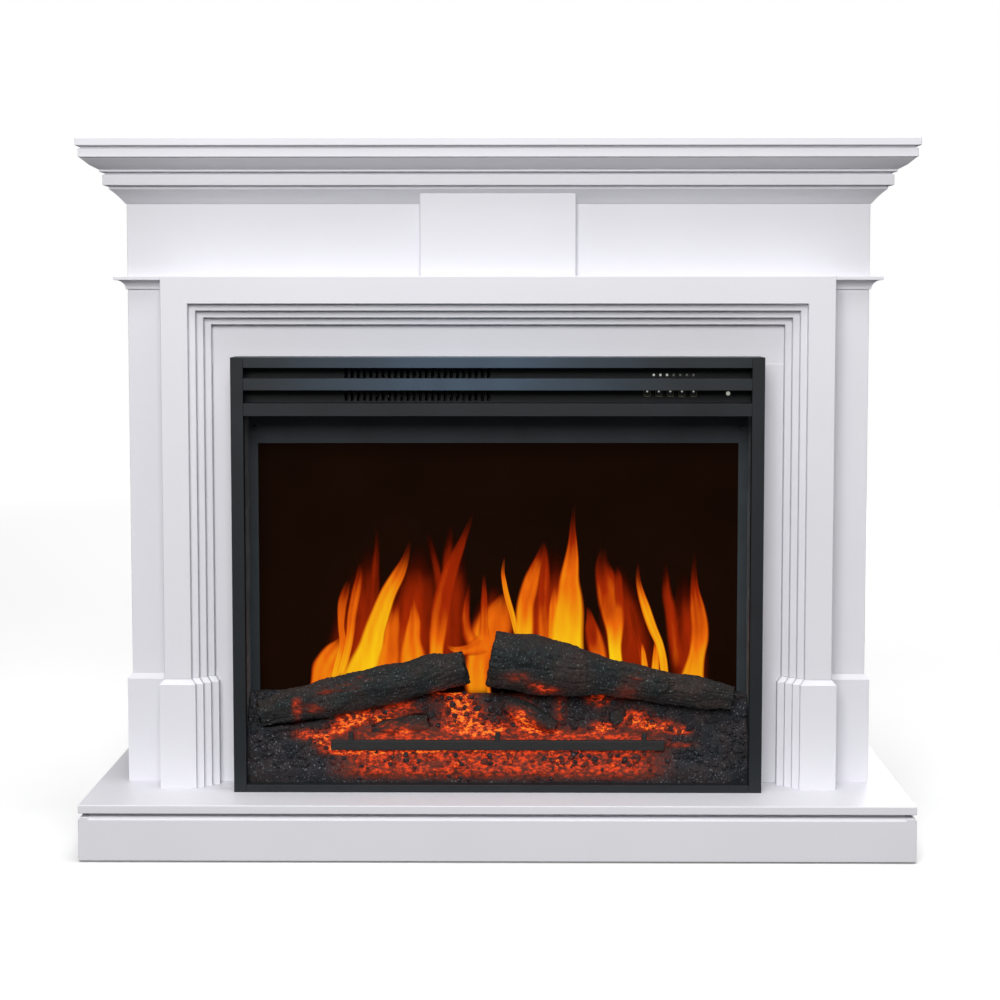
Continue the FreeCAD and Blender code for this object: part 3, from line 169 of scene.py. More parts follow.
@contextlib.contextmanager
def editing(piece, kind="FACE"):
    """Edit mode on one piece, with everything on it selected."""
    take(piece)
    bpy.ops.object.mode_set(mode="EDIT")
    bpy.ops.mesh.select_mode(type=kind)
    bpy.ops.mesh.select_all(action="SELECT")
    yield
    bpy.ops.object.mode_set(mode="OBJECT")


def settle(piece, name=None):
    """Put a piece's place, turn and size into its mesh."""
    take(piece)
    bpy.ops.object.transform_apply(location=True, rotation=True, scale=True)
    if name:
        piece.name = piece.data.name = name
    return piece


def work(piece, kind, **options):
    """Put one modifier on a piece and apply it."""
    modifier = piece.modifiers.new(kind.title(), kind)
    for option, value in options.items():
        setattr(modifier, option, value)
    take(piece)
    bpy.ops.object.modifier_apply(modifier=modifier.name)
    return piece


def smooth(piece, degrees=35):
    """Shade a piece smooth, but for edges sharper than the angle."""
    take(piece)
    bpy.ops.object.shade_smooth_by_angle(angle=math.radians(degrees))
    return piece


def whole(name, pieces):
    """Several pieces joined as one."""
    take(*pieces)
    bpy.ops.object.join()
    joined = bpy.context.view_layer.objects.active
    joined.name = joined.data.name = name
    return joined


def again(piece, shift=(0, 0, 0)):
    """A copy of a piece, with its own mesh, moved by shift."""
    copy = bpy.data.objects.new(piece.name, piece.data.copy())
    bpy.context.scene.collection.objects.link(copy)
    copy.data.transform(Matrix.Translation(shift))
    return copy


def dressed(piece, finish, body=ROOT, stands_for=()):
    """Give a finished piece its material, the body it rides on and the nodes it replaces."""
    piece.data.materials.clear()
    piece.data.materials.append(finish)
    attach(piece, body)
    if stands_for:
        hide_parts(*stands_for)
    return piece


def coated(finish, *nodes):
    """Give CAD nodes whose shape is kept a better material."""
    for name in nodes:
        mesh = frame["nodes"][name].data
        mesh.materials.clear()
        mesh.materials.append(finish)


def traced(node, name):
    """A copy of a CAD node as one merged mesh with whole flat faces."""
    piece = bpy.data.objects.new(name, frame["nodes"][node].data.copy())
    bpy.context.scene.collection.objects.link(piece)
    take(piece)
    bpy.ops.mesh.customdata_custom_splitnormals_clear()
    with editing(piece):
        bpy.ops.mesh.remove_doubles(threshold=1e-6)
        bpy.ops.mesh.dissolve_limited(angle_limit=math.radians(0.6))
    return piece


def merged(nodes, name):
    """Copies of CAD nodes that are glued and painted over, as one solid without joint lines."""
    piece = traced(nodes[0], name)
    for node in nodes[1:]:
        other = traced(node, "joined_board")
        work(piece, "BOOLEAN", operation="UNION", object=other, solver="EXACT")
        bpy.data.objects.remove(other)
    with editing(piece):
        bpy.ops.mesh.remove_doubles(threshold=1e-6)
        bpy.ops.mesh.dissolve_limited(angle_limit=math.radians(0.6))
        bpy.ops.mesh.normals_make_consistent(inside=False)
    return piece


def eased(node, name, radius):
    """A copy of a CAD node with its sharp edges rounded."""
    return rounded(traced(node, name), radius)


def rounded(piece, radius):
    """Round a piece's sharp edges."""
    smooth(piece)
    work(piece, "BEVEL", width=radius, segments=3, limit_method="ANGLE",
         angle_limit=math.radians(35), use_clamp_overlap=True)
    work(piece, "WEIGHTED_NORMAL", keep_sharp=True, weight=80)
    return piece


def refinished(node, prefix, radius, finish):
    """A copy of a CAD node with rounded edges and a better finish, in its place."""
    return dressed(eased(node, f"{prefix}_{node}", radius), finish, stands_for=[node])


def kneaded(piece, grain, relief):
    """Divide a piece finely and move each of its points out by relief(place, direction)."""
    work(piece, "REMESH", mode="VOXEL", voxel_size=grain)
    mesh = piece.data
    moves = [vertex.normal * relief(vertex.co, vertex.normal) for vertex in mesh.vertices]
    for vertex, move in zip(mesh.vertices, moves):
        vertex.co += move
    return smooth(piece, 60)


def dome(name, centre, radius, rise):
    """A shallow dome that faces the front, standing on the plane through its centre."""
    bpy.ops.object.select_all(action="DESELECT")
    bpy.ops.mesh.primitive_uv_sphere_add(
        segments=20, ring_count=10, radius=radius, location=centre, rotation=(math.pi / 2, 0, 0))
    piece = settle(bpy.context.active_object, name)
    with editing(piece):
        bpy.ops.mesh.bisect(
            plane_co=centre, plane_no=(0, 1, 0), use_fill=True, clear_outer=True)
        bpy.ops.mesh.select_all(action="SELECT")
        bpy.ops.transform.resize(
            value=(1, rise / radius, 1), center_override=centre, orient_type="GLOBAL")
        bpy.ops.mesh.normals_make_consistent(inside=False)
    return smooth(piece, 50)


def mixed(low, high, share):
    """The value this share of the way from low to high."""
    return low + (high - low) * share


def eases(low, high, value):
    """0 up to low, 1 past high, and a smooth rise between."""
    share = min(max((value - low) / (high - low), 0), 1)
    return share * share * (3 - 2 * share)


# ---------------------------------------------------------------- finishes

class Finish:
    """A material being made: its shader, and short ways to add patterns to it."""

    def __init__(self, name, base, roughness, **sockets):
        self.material = bpy.data.materials.new(name)
        self.material.use_nodes = True
        self.tree = self.material.node_tree
        self.shader = self.tree.nodes["Principled BSDF"]
        self.fit(self.shader, {"Base Color": base, "Roughness": roughness})
        self.fit(self.shader, {key.replace("_", " "): value for key, value in sockets.items()})
        self.place = self.add("ShaderNodeTexCoord").outputs["Object"]

    def fit(self, node, inputs):
        """Link or set a node's inputs; a colour may be given as three numbers."""
        for key, value in inputs.items():
            socket = node.inputs[key]
            if isinstance(value, bpy.types.NodeSocket):
                self.tree.links.new(value, socket)
            elif socket.type == "RGBA":
                socket.default_value = (*value[:3], 1)
            else:
                socket.default_value = value

    def add(self, kind, inputs=None, **options):
        node = self.tree.nodes.new(kind)
        for key, value in options.items():
            setattr(node, key, value)
        self.fit(node, inputs or {})
        return node

    def stretched(self, scale, turn=(0, 0, 0)):
        """Object coordinates, turned and scaled."""
        inputs = {"Vector": self.place, "Scale": scale, "Rotation": turn}
        return self.add("ShaderNodeMapping", inputs).outputs["Vector"]

    def grains(self, size, detail=2.0, roughness=0.5, place=None):
        """Noise with features about size metres across, from 0 to 1."""
        inputs = {"Vector": place or self.place, "Scale": 1 / size, "Detail": detail,
                  "Roughness": roughness}
        return self.add("ShaderNodeTexNoise", inputs).outputs["Fac"]

    def cells(self, size, output="Distance"):
        """A cellular pattern with cells about size metres across."""
        inputs = {"Vector": self.place, "Scale": 1 / size}
        return self.add("ShaderNodeTexVoronoi", inputs).outputs[output]

    def range(self, value, low, high, start=0.0, end=1.0):
        """A value from low to high made one from start to end."""
        inputs = {"Value": value, "From Min": low, "From Max": high, "To Min": start, "To Max": end}
        return self.add("ShaderNodeMapRange", inputs).outputs["Result"]

    def count(self, operation, *values):
        """One step of arithmetic on values."""
        return self.add("ShaderNodeMath", dict(enumerate(values)), operation=operation).outputs[0]

    def blend(self, share, first, second):
        """The second colour over the first."""
        inputs = {"Fac": share, "Color1": first, "Color2": second}
        return self.add("ShaderNodeMixRGB", inputs).outputs["Color"]

    def ramp(self, value, *stops):
        """Colours along a value; each stop is a place and a colour."""
        node = self.add("ShaderNodeValToRGB", {"Fac": value})
        points = node.color_ramp.elements
        while len(points) < len(stops):
            points.new(0.5)
        for point, (place, shade) in zip(points, stops):
            point.position = place
            point.color = (*shade, 1)
        return node.outputs["Color"]

    def relief(self, height, depth, strength=1.0):
        """Raise the surface by up to depth metres where height is 1."""
        inputs = {"Height": height, "Distance": depth, "Strength": strength}
        self.fit(self.shader, {"Normal": self.add("ShaderNodeBump", inputs).outputs["Normal"]})

    def part(self, axis):
        """One of the object coordinates, in metres."""
        return self.add("ShaderNodeSeparateXYZ", {"Vector": self.place}).outputs[axis]

    def attribute(self, name, output="Fac"):
        """A value stored on the piece's points."""
        return self.add("ShaderNodeAttribute", attribute_name=name).outputs[output]


def shaded(base, factor):
    """A colour made lighter or darker."""
    return tuple(min(part * factor, 1) for part in base)


def halfway(first, second):
    """The colour in the middle of two."""
    return tuple(mixed(low, high, 0.5) for low, high in zip(first, second))


def satin_lacquer(surround):
    """White satin lacquer: faint cloudiness and a fine orange peel."""
    base = surround.lacquer
    finish = Finish("satin_lacquer", base, surround.sheen)
    cloud = finish.range(finish.grains(0.16, 3), 0.3, 0.7)
    sheen = finish.range(
        finish.grains(0.012, 4), 0.3, 0.7, surround.sheen - 0.04, surround.sheen + 0.05)
    tint = finish.blend(cloud, shaded(base, 0.985), shaded(base, 1.012))
    finish.fit(finish.shader, {"Base Color": tint, "Roughness": sheen})
    finish.relief(finish.grains(0.0016, 3), 0.00004, 0.35)
    return finish.material


def bare_board(surround):
    """Fibreboard: felted fibres in two browns, with a faint nap."""
    base = surround.board
    finish = Finish("bare_fibreboard", base, 0.85)
    fibres = finish.grains(0.0012, 5, 0.7, finish.stretched((1, 1, 2.4)))
    patches = finish.range(finish.grains(0.05, 3), 0.35, 0.65)
    tint = finish.blend(patches, shaded(base, 0.85), shaded(base, 1.1))
    finish.fit(finish.shader, {
        "Base Color": finish.blend(finish.range(fibres, 0.35, 0.65), shaded(base, 0.7), tint)})
    finish.relief(fibres, 0.0002, 0.6)
    return finish.material


def primed_board(surround):
    """Fibreboard under one coat of white primer, with the fibres showing through."""
    base = shaded(surround.lacquer, 0.9)
    finish = Finish("primed_fibreboard", base, 0.8)
    fibres = finish.grains(0.0012, 5, 0.7, finish.stretched((1, 1, 2.4)))
    finish.fit(finish.shader, {
        "Base Color": finish.blend(finish.range(fibres, 0.3, 0.5), shaded(base, 0.85), base)})
    finish.relief(fibres, 0.0001, 0.5)
    return finish.material


def pressed_felt(surround):
    """Dark felt with short hairs standing off it."""
    finish = Finish("pressed_felt", surround.felt, 1.0, Sheen_Weight=0.4)
    hairs = finish.grains(0.0006, 6, 0.8)
    finish.fit(finish.shader, {
        "Base Color": finish.blend(hairs, shaded(surround.felt, 0.5), shaded(surround.felt, 1.8))})
    finish.relief(hairs, 0.0004)
    return finish.material


# Middle of the painted reflection on the louvre bars, a bluish sheen painted into their colour, and how
# far from it the painted reflection starts and stops fading
REFLECTION_MIDDLE = -0.04
REFLECTION_FADE = (0.04, 0.25)


def powder_coat(steel, name, base, with_painted_reflection=False):
    """Black powder coat with a fine grain; one with a painted reflection gets a bluish painted
    reflection across the middle.
    """
    finish = Finish(name, base, 0.5, Specular_IOR_Level=0.28)
    wear = finish.range(finish.grains(0.05, 4), 0.3, 0.7)
    tint = finish.blend(wear, shaded(base, 0.85), shaded(base, 1.2))
    # Painted reflection: a bluish sheen painted into the colour, strongest at the middle of the bars
    # and fading towards their ends
    if with_painted_reflection:
        away = finish.count("ABSOLUTE", finish.count("SUBTRACT", finish.part("X"), REFLECTION_MIDDLE))
        blued = finish.range(away, *REFLECTION_FADE, 1.0, 0.0)
        clouds = finish.range(finish.grains(0.06), 0.3, 0.7, 0.7, 1.0)
        tint = finish.blend(finish.count("MULTIPLY", blued, clouds), tint, steel.louvre)
    grain = finish.grains(0.0007, 3)
    finish.fit(finish.shader, {
        "Base Color": tint, "Roughness": finish.range(grain, 0.3, 0.7, 0.42, 0.58)})
    finish.relief(grain, 0.00006, 0.5)
    return finish.material


def zinc_coat(steel):
    """Galvanised sheet: interlocking spangles, each with its own brightness."""
    base = steel.zinc
    finish = Finish("galvanised_steel", base, 0.42, Metallic=0.9)
    spangle = finish.range(finish.cells(0.011, "Color"), 0, 1)
    tint = finish.blend(spangle, shaded(base, 0.72), shaded(base, 1.1))
    finish.fit(finish.shader, {
        "Base Color": tint, "Roughness": finish.range(spangle, 0, 1, 0.34, 0.56)})
    finish.relief(finish.grains(0.004, 3), 0.00005, 0.4)
    return finish.material


def moulded(name, base, roughness, grain=0.0009):
    """Moulded plastic with a fine spark-eroded grain."""
    finish = Finish(name, base, roughness)
    texture = finish.grains(grain, 3)
    finish.fit(finish.shader, {
        "Base Color": finish.blend(finish.grains(0.02), shaded(base, 0.85), shaded(base, 1.2)),
        "Roughness": finish.range(texture, 0.3, 0.7, roughness - 0.06, roughness + 0.06)})
    finish.relief(texture, 0.00005, 0.5)
    return finish.material


def brushed(name, base, roughness, along=(1, 1, 1)):
    """Metal with fine lines along its length."""
    finish = Finish(name, base, roughness, Metallic=1.0)
    lines = finish.grains(0.0012, 4, 0.6, finish.stretched(along))
    finish.fit(finish.shader, {
        "Base Color": finish.blend(lines, shaded(base, 0.8), shaded(base, 1.08)),
        "Roughness": finish.range(lines, 0.3, 0.7, roughness - 0.08, roughness + 0.1)})
    finish.relief(lines, 0.00003, 0.4)
    return finish.material


def circuit_board():
    """Green solder mask over tracks, with tinned pads."""
    mask = (0.008, 0.06, 0.025)
    finish = Finish("circuit_board", mask, 0.3)
    tracks = finish.add("ShaderNodeTexBrick", {
        "Vector": finish.stretched((1, 1, 1), (math.pi / 2, 0, 0)), "Scale": 160,
        "Mortar Size": 0.06, "Color1": mask, "Color2": shaded(mask, 1.3),
        "Mortar": (0.02, 0.14, 0.05)}).outputs["Color"]
    pads = finish.range(finish.cells(0.005), 0.12, 0.16)
    finish.fit(finish.shader, {"Base Color": finish.blend(pads, (0.5, 0.5, 0.48), tracks)})
    finish.relief(finish.grains(0.001, 2), 0.00004, 0.5)
    return finish.material


def fired_ceramic():
    """Heater block: dark ceramic crossed by rows of darker cells."""
    base = (0.05, 0.05, 0.052)
    finish = Finish("fired_ceramic", base, 0.7)
    rows = finish.add("ShaderNodeTexBrick", {
        "Vector": finish.stretched((1, 1, 1), (math.pi / 2, 0, 0)), "Scale": 60,
        "Mortar Size": 0.1, "Color1": (0.012, 0.012, 0.013), "Color2": (0.02, 0.02, 0.021),
        "Mortar": base}).outputs["Color"]
    finish.fit(finish.shader, {"Base Color": rows})
    finish.relief(finish.grains(0.0015, 4), 0.0001, 0.5)
    return finish.material


# The coldest edges of the flames
FAINT_RED = (0.012, 0.001, 0.0)
DARK_RED = (0.085, 0.006, 0.001)


def flame_glow(fire):
    """Flames: a colour that follows each tongue's heat, clear where the tongue thins out."""
    finish = Finish("flame_glow", (0, 0, 0), 1.0, Specular_IOR_Level=0.0)
    parts = finish.add("ShaderNodeSeparateColor", {"Color": finish.attribute("blaze", "Color")})
    licks = finish.grains(0.011, 3, 0.5, finish.stretched((1, 1, 0.22)))
    heat = finish.count("ADD", parts.outputs["Red"], finish.range(licks, 0.3, 0.7, -0.05, 0.05))
    glow = finish.ramp(
        heat, (0.0, FAINT_RED), (0.2, DARK_RED), (0.42, fire.red), (0.62, fire.orange),
        (0.82, halfway(fire.orange, fire.yellow)), (1.0, fire.yellow))
    finish.fit(finish.shader, {
        "Emission Color": glow, "Emission Strength": 1.0, "Alpha": parts.outputs["Green"]})
    return finish.material


def smoked_screen(fire):
    """The unlit screen: smoked brown, faintly mottled, with hardly any shine."""
    finish = Finish("smoked_screen", fire.glass, 0.6, Specular_IOR_Level=0.02)
    mottle = finish.range(finish.grains(0.09, 3), 0.3, 0.7)
    finish.fit(finish.shader, {
        "Base Color": finish.blend(mottle, shaded(fire.glass, 0.85), shaded(fire.glass, 1.15))})
    return finish.material


# Scorched brown of a warm place, and the colour of the glow from cold to hottest
SCORCHED = (0.06, 0.0132, 0.006)
GLOW = (
    (0.0, (0, 0, 0)), (0.12, (0.012, 0.0012, 0.0004)), (0.35, (0.10, 0.007, 0.0015)),
    (0.60, (0.42, 0.022, 0.002)), (0.82, (0.80, 0.055, 0.003)), (1.0, (0.95, 0.22, 0.014)))


def burning(name, base, second, ash, lump, glow_size):
    """Charcoal: two dark tones, flecks of ash, and a glow that breaks up where it is hot."""
    finish = Finish(name, base, 0.85, Specular_IOR_Level=0.3)
    tone = finish.range(finish.grains(lump, 4, 0.6), 0.38, 0.62)
    flecks = finish.range(finish.grains(0.0022, 3, 0.6), 0.60, 0.70)
    tint = finish.blend(flecks, finish.blend(tone, base, second), ash)
    crumbs = finish.grains(glow_size, 4, 0.65, finish.stretched((0.55, 1, 1)))
    hotness = finish.attribute("hotness")
    heat = finish.count("MULTIPLY", hotness, finish.range(crumbs, 0.37, 0.62, 0.16, 1.3))
    warm = finish.range(hotness, 0.05, 0.42)
    finish.fit(finish.shader, {
        "Base Color": finish.blend(warm, tint, SCORCHED),
        "Emission Color": finish.ramp(heat, *GLOW), "Emission Strength": 1.0,
        "Roughness": finish.range(crumbs, 0.3, 0.7, 0.7, 0.95)})
    finish.relief(crumbs, 0.0006, 0.8)
    return finish.material


# ---------------------------------------------------------------- surround and metalwork

LACQUERED = (
    "hearth_top", "side_panels", "inner_panels", "plinth_left", "plinth_right", "skirtings",
    "cap_mouldings", "key_block", "cove_moulding", "cornice_lower", "ogee_moulding",
    "cornice_upper", "mantel_shelf")
# Boards whose joints are filled and painted over
FILLED = {
    "frame": ("frame_top", "frame_left", "frame_right"),
    "face": ("frieze_board", "pilasters"),
    "hearth_base": ("hearth_front", "hearth_ends"),
}


class FIREPLACE_OT_surround(bpy.types.Operator):
    """Lacquer the boards and mouldings and round their edges"""
    bl_idname = "fireplace.surround"
    bl_label = "Surround"

    def execute(self, context):
        surround = context.scene.fireplace_surround
        finish = satin_lacquer(surround)
        for node in LACQUERED:
            refinished(node, "lacquered", surround.edge, finish)
        for name, nodes in FILLED.items():
            board = rounded(merged(nodes, f"lacquered_{name}"), surround.edge)
            dressed(board, finish, stands_for=nodes)
        return {"FINISHED"}


class FIREPLACE_OT_carcass(bpy.types.Operator):
    """Finish the bare boards, the glides and the wall brackets"""
    bl_idname = "fireplace.carcass"
    bl_label = "Carcass"

    def execute(self, context):
        surround, steel = context.scene.fireplace_surround, context.scene.fireplace_steel
        coated(bare_board(surround), "back_rails", "glue_blocks")
        coated(primed_board(surround), "hearth_rails")
        coated(pressed_felt(surround), "glides")
        brackets = eased("wall_brackets", "plated_brackets", steel.edge)
        dressed(brackets, zinc_coat(steel), stands_for=["wall_brackets"])
        return {"FINISHED"}


class FIREPLACE_OT_trim(bpy.types.Operator):
    """Coat the trim, the louvre bars, the vent panel and the window bezel"""
    bl_idname = "fireplace.trim"
    bl_label = "Trim"

    def execute(self, context):
        steel = context.scene.fireplace_steel
        black = powder_coat(steel, "black_powder_coat", steel.powder)
        coats = {
            # The bezel: the same black powder coat, lightened with painted light
            "screen_bezel": powder_coat(steel, "bezel_powder_coat", steel.bezel),
            # The vent panel: the black powder coat darkened with painted shade
            "vent_panel": powder_coat(steel, "shaded_powder_coat", steel.shade)}
        # The louvre bars: a lighter copy of the powder coat as painted highlight, with a bluish painted
        # reflection across the middle
        blued = powder_coat(steel, "blued_powder_coat", shaded(steel.powder, 1.5), with_painted_reflection=True)
        for node in ("trim_left", "trim_right", "trim_bottom", "screen_bezel", "vent_panel",
                     "louvre_bottom"):
            refinished(node, "coated", steel.edge, coats.get(node, black))
        for node in ("louvre_top", "louvre_middle"):
            refinished(node, "blued", steel.edge, blued)
        return {"FINISHED"}


# The cross recess of a screw as shares of the head's radius, and its turn
RECESS_REACH = 0.62
RECESS_WIDTH = 0.2604
RECESS_TURN = 0.3


class FIREPLACE_OT_screws(bpy.types.Operator):
    """Model the two bezel screws with their cross recesses"""
    bl_idname = "fireplace.screws"
    bl_label = "Screws"

    def execute(self, context):
        steel = context.scene.fireplace_steel
        low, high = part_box("bezel_screws")
        radius = (high.z - low.z) / 2
        depth = high.y - low.y
        seat = Vector((low.x + radius, high.y, low.z + radius))
        head = dome("screw_head", seat, radius, depth)
        arms = []
        for turn in (0, math.pi / 2):
            bpy.ops.object.select_all(action="DESELECT")
            bpy.ops.mesh.primitive_cube_add(
                size=1, location=(seat.x, low.y, seat.z), rotation=(0, turn + RECESS_TURN, 0),
                scale=(radius * RECESS_REACH * 2, depth * 1.1, radius * RECESS_WIDTH))
            arms.append(settle(bpy.context.active_object))
        for arm in arms:
            work(head, "BOOLEAN", operation="DIFFERENCE", object=arm, solver="EXACT")
            bpy.data.objects.remove(arm)
        smooth(head, 30)
        other = again(head, (high.x - low.x - radius * 2, 0, 0))
        screws = whole("bezel_screw_heads", [head, other])
        dressed(screws, moulded("blackened_screw", (0.012, 0.013, 0.015), 0.4),
                stands_for=["bezel_screws"])
        return {"FINISHED"}


# ---------------------------------------------------------------- controls

BRIGHT_LIGHTS = 3
# Button marks: share of the button's height, radius and rise; and the outline's margin, line,
# rise and corner radius as a share of the width
MARK_LEVEL, MARK_RADIUS, MARK_RISE = 0.74, 0.0011, 0.0003
OUTLINE_MARGIN, OUTLINE_LINE, OUTLINE_RISE, OUTLINE_CORNER = 0.0005, 0.0009, 0.0003, 0.36
# Radius and line of the sender mark
SENDER_RADIUS, SENDER_LINE = 0.0046, 0.0007


class FIREPLACE_OT_controls(bpy.types.Operator):
    """Model the buttons with their outlines, the indicator lenses, the receiver and the sender mark"""
    bl_idname = "fireplace.controls"
    bl_label = "Controls"

    def execute(self, context):
        steel = context.scene.fireplace_steel
        cap = moulded("button_cap", (0.012, 0.012, 0.013), 0.45)
        legend = moulded("button_legend", steel.legend, 0.5)
        bright = self.lit("indicator_lit", steel.light, 0.55)
        dim = self.lit("indicator_dim", shaded(steel.light, 0.45), 0.12)
        for number in range(1, 6):
            node = f"button_{number}"
            body = f"push_{number}"
            dressed(eased(node, f"button_cap_{number}", 0.0004), cap, body, [node])
            low, high = self.face(node)
            dressed(self.outline(f"button_outline_{number}", low, high), legend,
                    body)
            mark = Vector(((low.x + high.x) / 2, low.y, mixed(low.z, high.z, MARK_LEVEL)))
            dressed(dome(f"button_mark_{number}", mark, MARK_RADIUS, MARK_RISE), bright,
                    body)
        self.lenses(bright, dim)
        return {"FINISHED"}

    @staticmethod
    def lit(name, base, strength):
        """Frosted plastic with a light behind it."""
        finish = Finish(name, base, 0.4, Emission_Strength=strength)
        frost = finish.blend(finish.grains(0.0006, 2), shaded(base, 0.85), base)
        finish.fit(finish.shader, {"Base Color": frost, "Emission Color": frost})
        return finish.material

    @staticmethod
    def face(node):
        """Corners of a button's front face; its flange is wider and further back."""
        points = [vertex.co for vertex in frame["nodes"][node].data.vertices]
        front = min(point.y for point in points)
        face = [point for point in points if point.y < front + 1e-5]
        low = Vector((min(p.x for p in face), front, min(p.z for p in face)))
        high = Vector((max(p.x for p in face), front, max(p.z for p in face)))
        return low, high

    @staticmethod
    def outline(name, low, high):
        """A thin raised line round a button's face, with round lower corners."""
        middle = (low + high) / 2
        across = high.x - low.x - OUTLINE_MARGIN * 2
        up = high.z - low.z - OUTLINE_MARGIN * 2
        bpy.ops.object.select_all(action="DESELECT")
        bpy.ops.mesh.primitive_plane_add(
            size=1, location=(middle.x, low.y + 0.0001, middle.z), rotation=(math.pi / 2, 0, 0))
        piece = bpy.context.active_object
        piece.scale = (across, up, 1)
        settle(piece, name)
        with editing(piece, "VERT"):
            bpy.ops.mesh.select_all(action="DESELECT")
            shape = bmesh.from_edit_mesh(piece.data)
            for vertex in shape.verts:
                vertex.select_set(vertex.co.z < middle.z)
            bmesh.update_edit_mesh(piece.data)
            bpy.ops.mesh.bevel(affect="VERTICES", offset=across * OUTLINE_CORNER, segments=6)
            bpy.ops.mesh.select_mode(type="FACE")
            bpy.ops.mesh.select_all(action="SELECT")
            bpy.ops.mesh.inset(thickness=OUTLINE_LINE)
            bpy.ops.mesh.delete(type="FACE")
        return smooth(work(piece, "SOLIDIFY", thickness=OUTLINE_RISE + 0.0001, offset=1), 30)

    def lenses(self, bright, dim):
        """Seven indicator lenses in a row, with the sender mark beside them and the receiver."""
        low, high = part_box("indicator_lights")
        parts = self.solids("indicator_lights")
        lamps = sorted(parts, key=lambda part: part[0].x)
        lit, unlit = [], []
        for count, (foot, top) in enumerate(lamps):
            middle = (foot + top) / 2
            radius = (top.x - foot.x) / 2
            lens = dome(f"lens_{count}", Vector((middle.x, top.y, middle.z)), radius, top.y - foot.y)
            (lit if count < BRIGHT_LIGHTS or count == len(lamps) - 1 else unlit).append(lens)
        first = lamps[0][0]
        bpy.ops.object.select_all(action="DESELECT")
        span = SENDER_RADIUS
        bpy.ops.mesh.primitive_torus_add(
            major_radius=span, minor_radius=SENDER_LINE, major_segments=40, minor_segments=8,
            location=(first.x - span * 1.7, high.y, (low.z + high.z) / 2 - span * 0.7),
            rotation=(math.pi / 2, 0, 0))
        mark = settle(bpy.context.active_object, "sender_mark")
        with editing(mark):
            bpy.ops.mesh.bisect(
                plane_co=(0, 0, (low.z + high.z) / 2 - span * 0.1), plane_no=(0, 0, 1),
                use_fill=True, clear_inner=True)
        dressed(whole("indicator_lenses_lit", [*lit, smooth(mark, 60)]), bright)
        dressed(whole("indicator_lenses_dim", unlit), dim,
                stands_for=["indicator_lights"])

    @staticmethod
    def solids(node):
        """The low and high corner of each separate solid of a node."""
        copy = traced(node, "solids")
        with editing(copy):
            bpy.ops.mesh.separate(type="LOOSE")
        pieces = [piece for piece in bpy.data.objects if piece.name.startswith("solids")]
        corners = []
        for piece in pieces:
            points = [vertex.co for vertex in piece.data.vertices]
            corners.append((
                Vector(min(p[axis] for p in points) for axis in range(3)),
                Vector(max(p[axis] for p in points) for axis in range(3))))
            bpy.data.objects.remove(piece)
        return corners


# ---------------------------------------------------------------- fire

# Where the fire glows, in millimetres: across, level, half width, half height, and how hot
HOT_SPOTS = (
    (-206, 186, 15, 4.8, 0.45), (-185, 193, 15, 4.8, 0.42), (-162, 202, 11, 3.6, 0.42),
    (-242, 169, 6, 15.7, 0.6), (-221, 166, 11, 6.1, 0.5), (-232, 133, 16, 6.1, 0.8),
    (-211, 129, 12, 8.5, 0.95), (-192, 140, 12, 9.7, 0.95), (-175, 149, 15, 8.5, 0.95),
    (-153, 153, 17, 7.3, 0.9), (-134, 147, 15, 8.5, 0.85), (-117, 135, 17, 4.8, 0.75),
    (-115, 164, 22, 7.3, 0.62), (-103, 146, 15, 10.9, 0.5), (-76, 180, 7, 9.7, 0.45),
    (-49, 179, 19, 10.9, 0.85), (-42, 159, 24, 14.5, 0.95), (-43, 140, 27, 12.1, 1.0),
    (-16, 135, 15, 6.0, 0.9), (24, 207, 16, 7.2, 0.4), (58, 189, 14, 6.0, 0.75),
    (46, 197, 10, 4.8, 0.5), (123, 172, 14, 8.5, 0.7), (168, 207, 8, 6.0, 0.5),
    (127, 141, 15, 7.3, 1.0), (166, 150, 19, 10.9, 0.95), (197, 142, 19, 7.2, 1.0),
    (223, 137, 12, 4.8, 0.8), (26, 159, 16, 13.3, 0.8), (36, 144, 15, 8.5, 0.95),
    (-1, 140, 15, 8.5, 1.0), (76, 159, 8, 16.9, 0.5), (60, 135, 29, 4.8, 0.8),
    (108, 133, 27, 3.6, 0.6), (220, 121, 19, 3.6, 0.45), (155, 186, 14, 12.1, 0.3),
    (-201, 117, 15, 6.1, 0.9), (-165, 111, 32, 3.6, 0.9), (-93, 112, 61, 3.6, 0.85),
    (3, 115, 73, 3.6, 0.8), (123, 118, 41, 3.6, 0.95), (171, 119, 24, 3.6, 0.6),
)

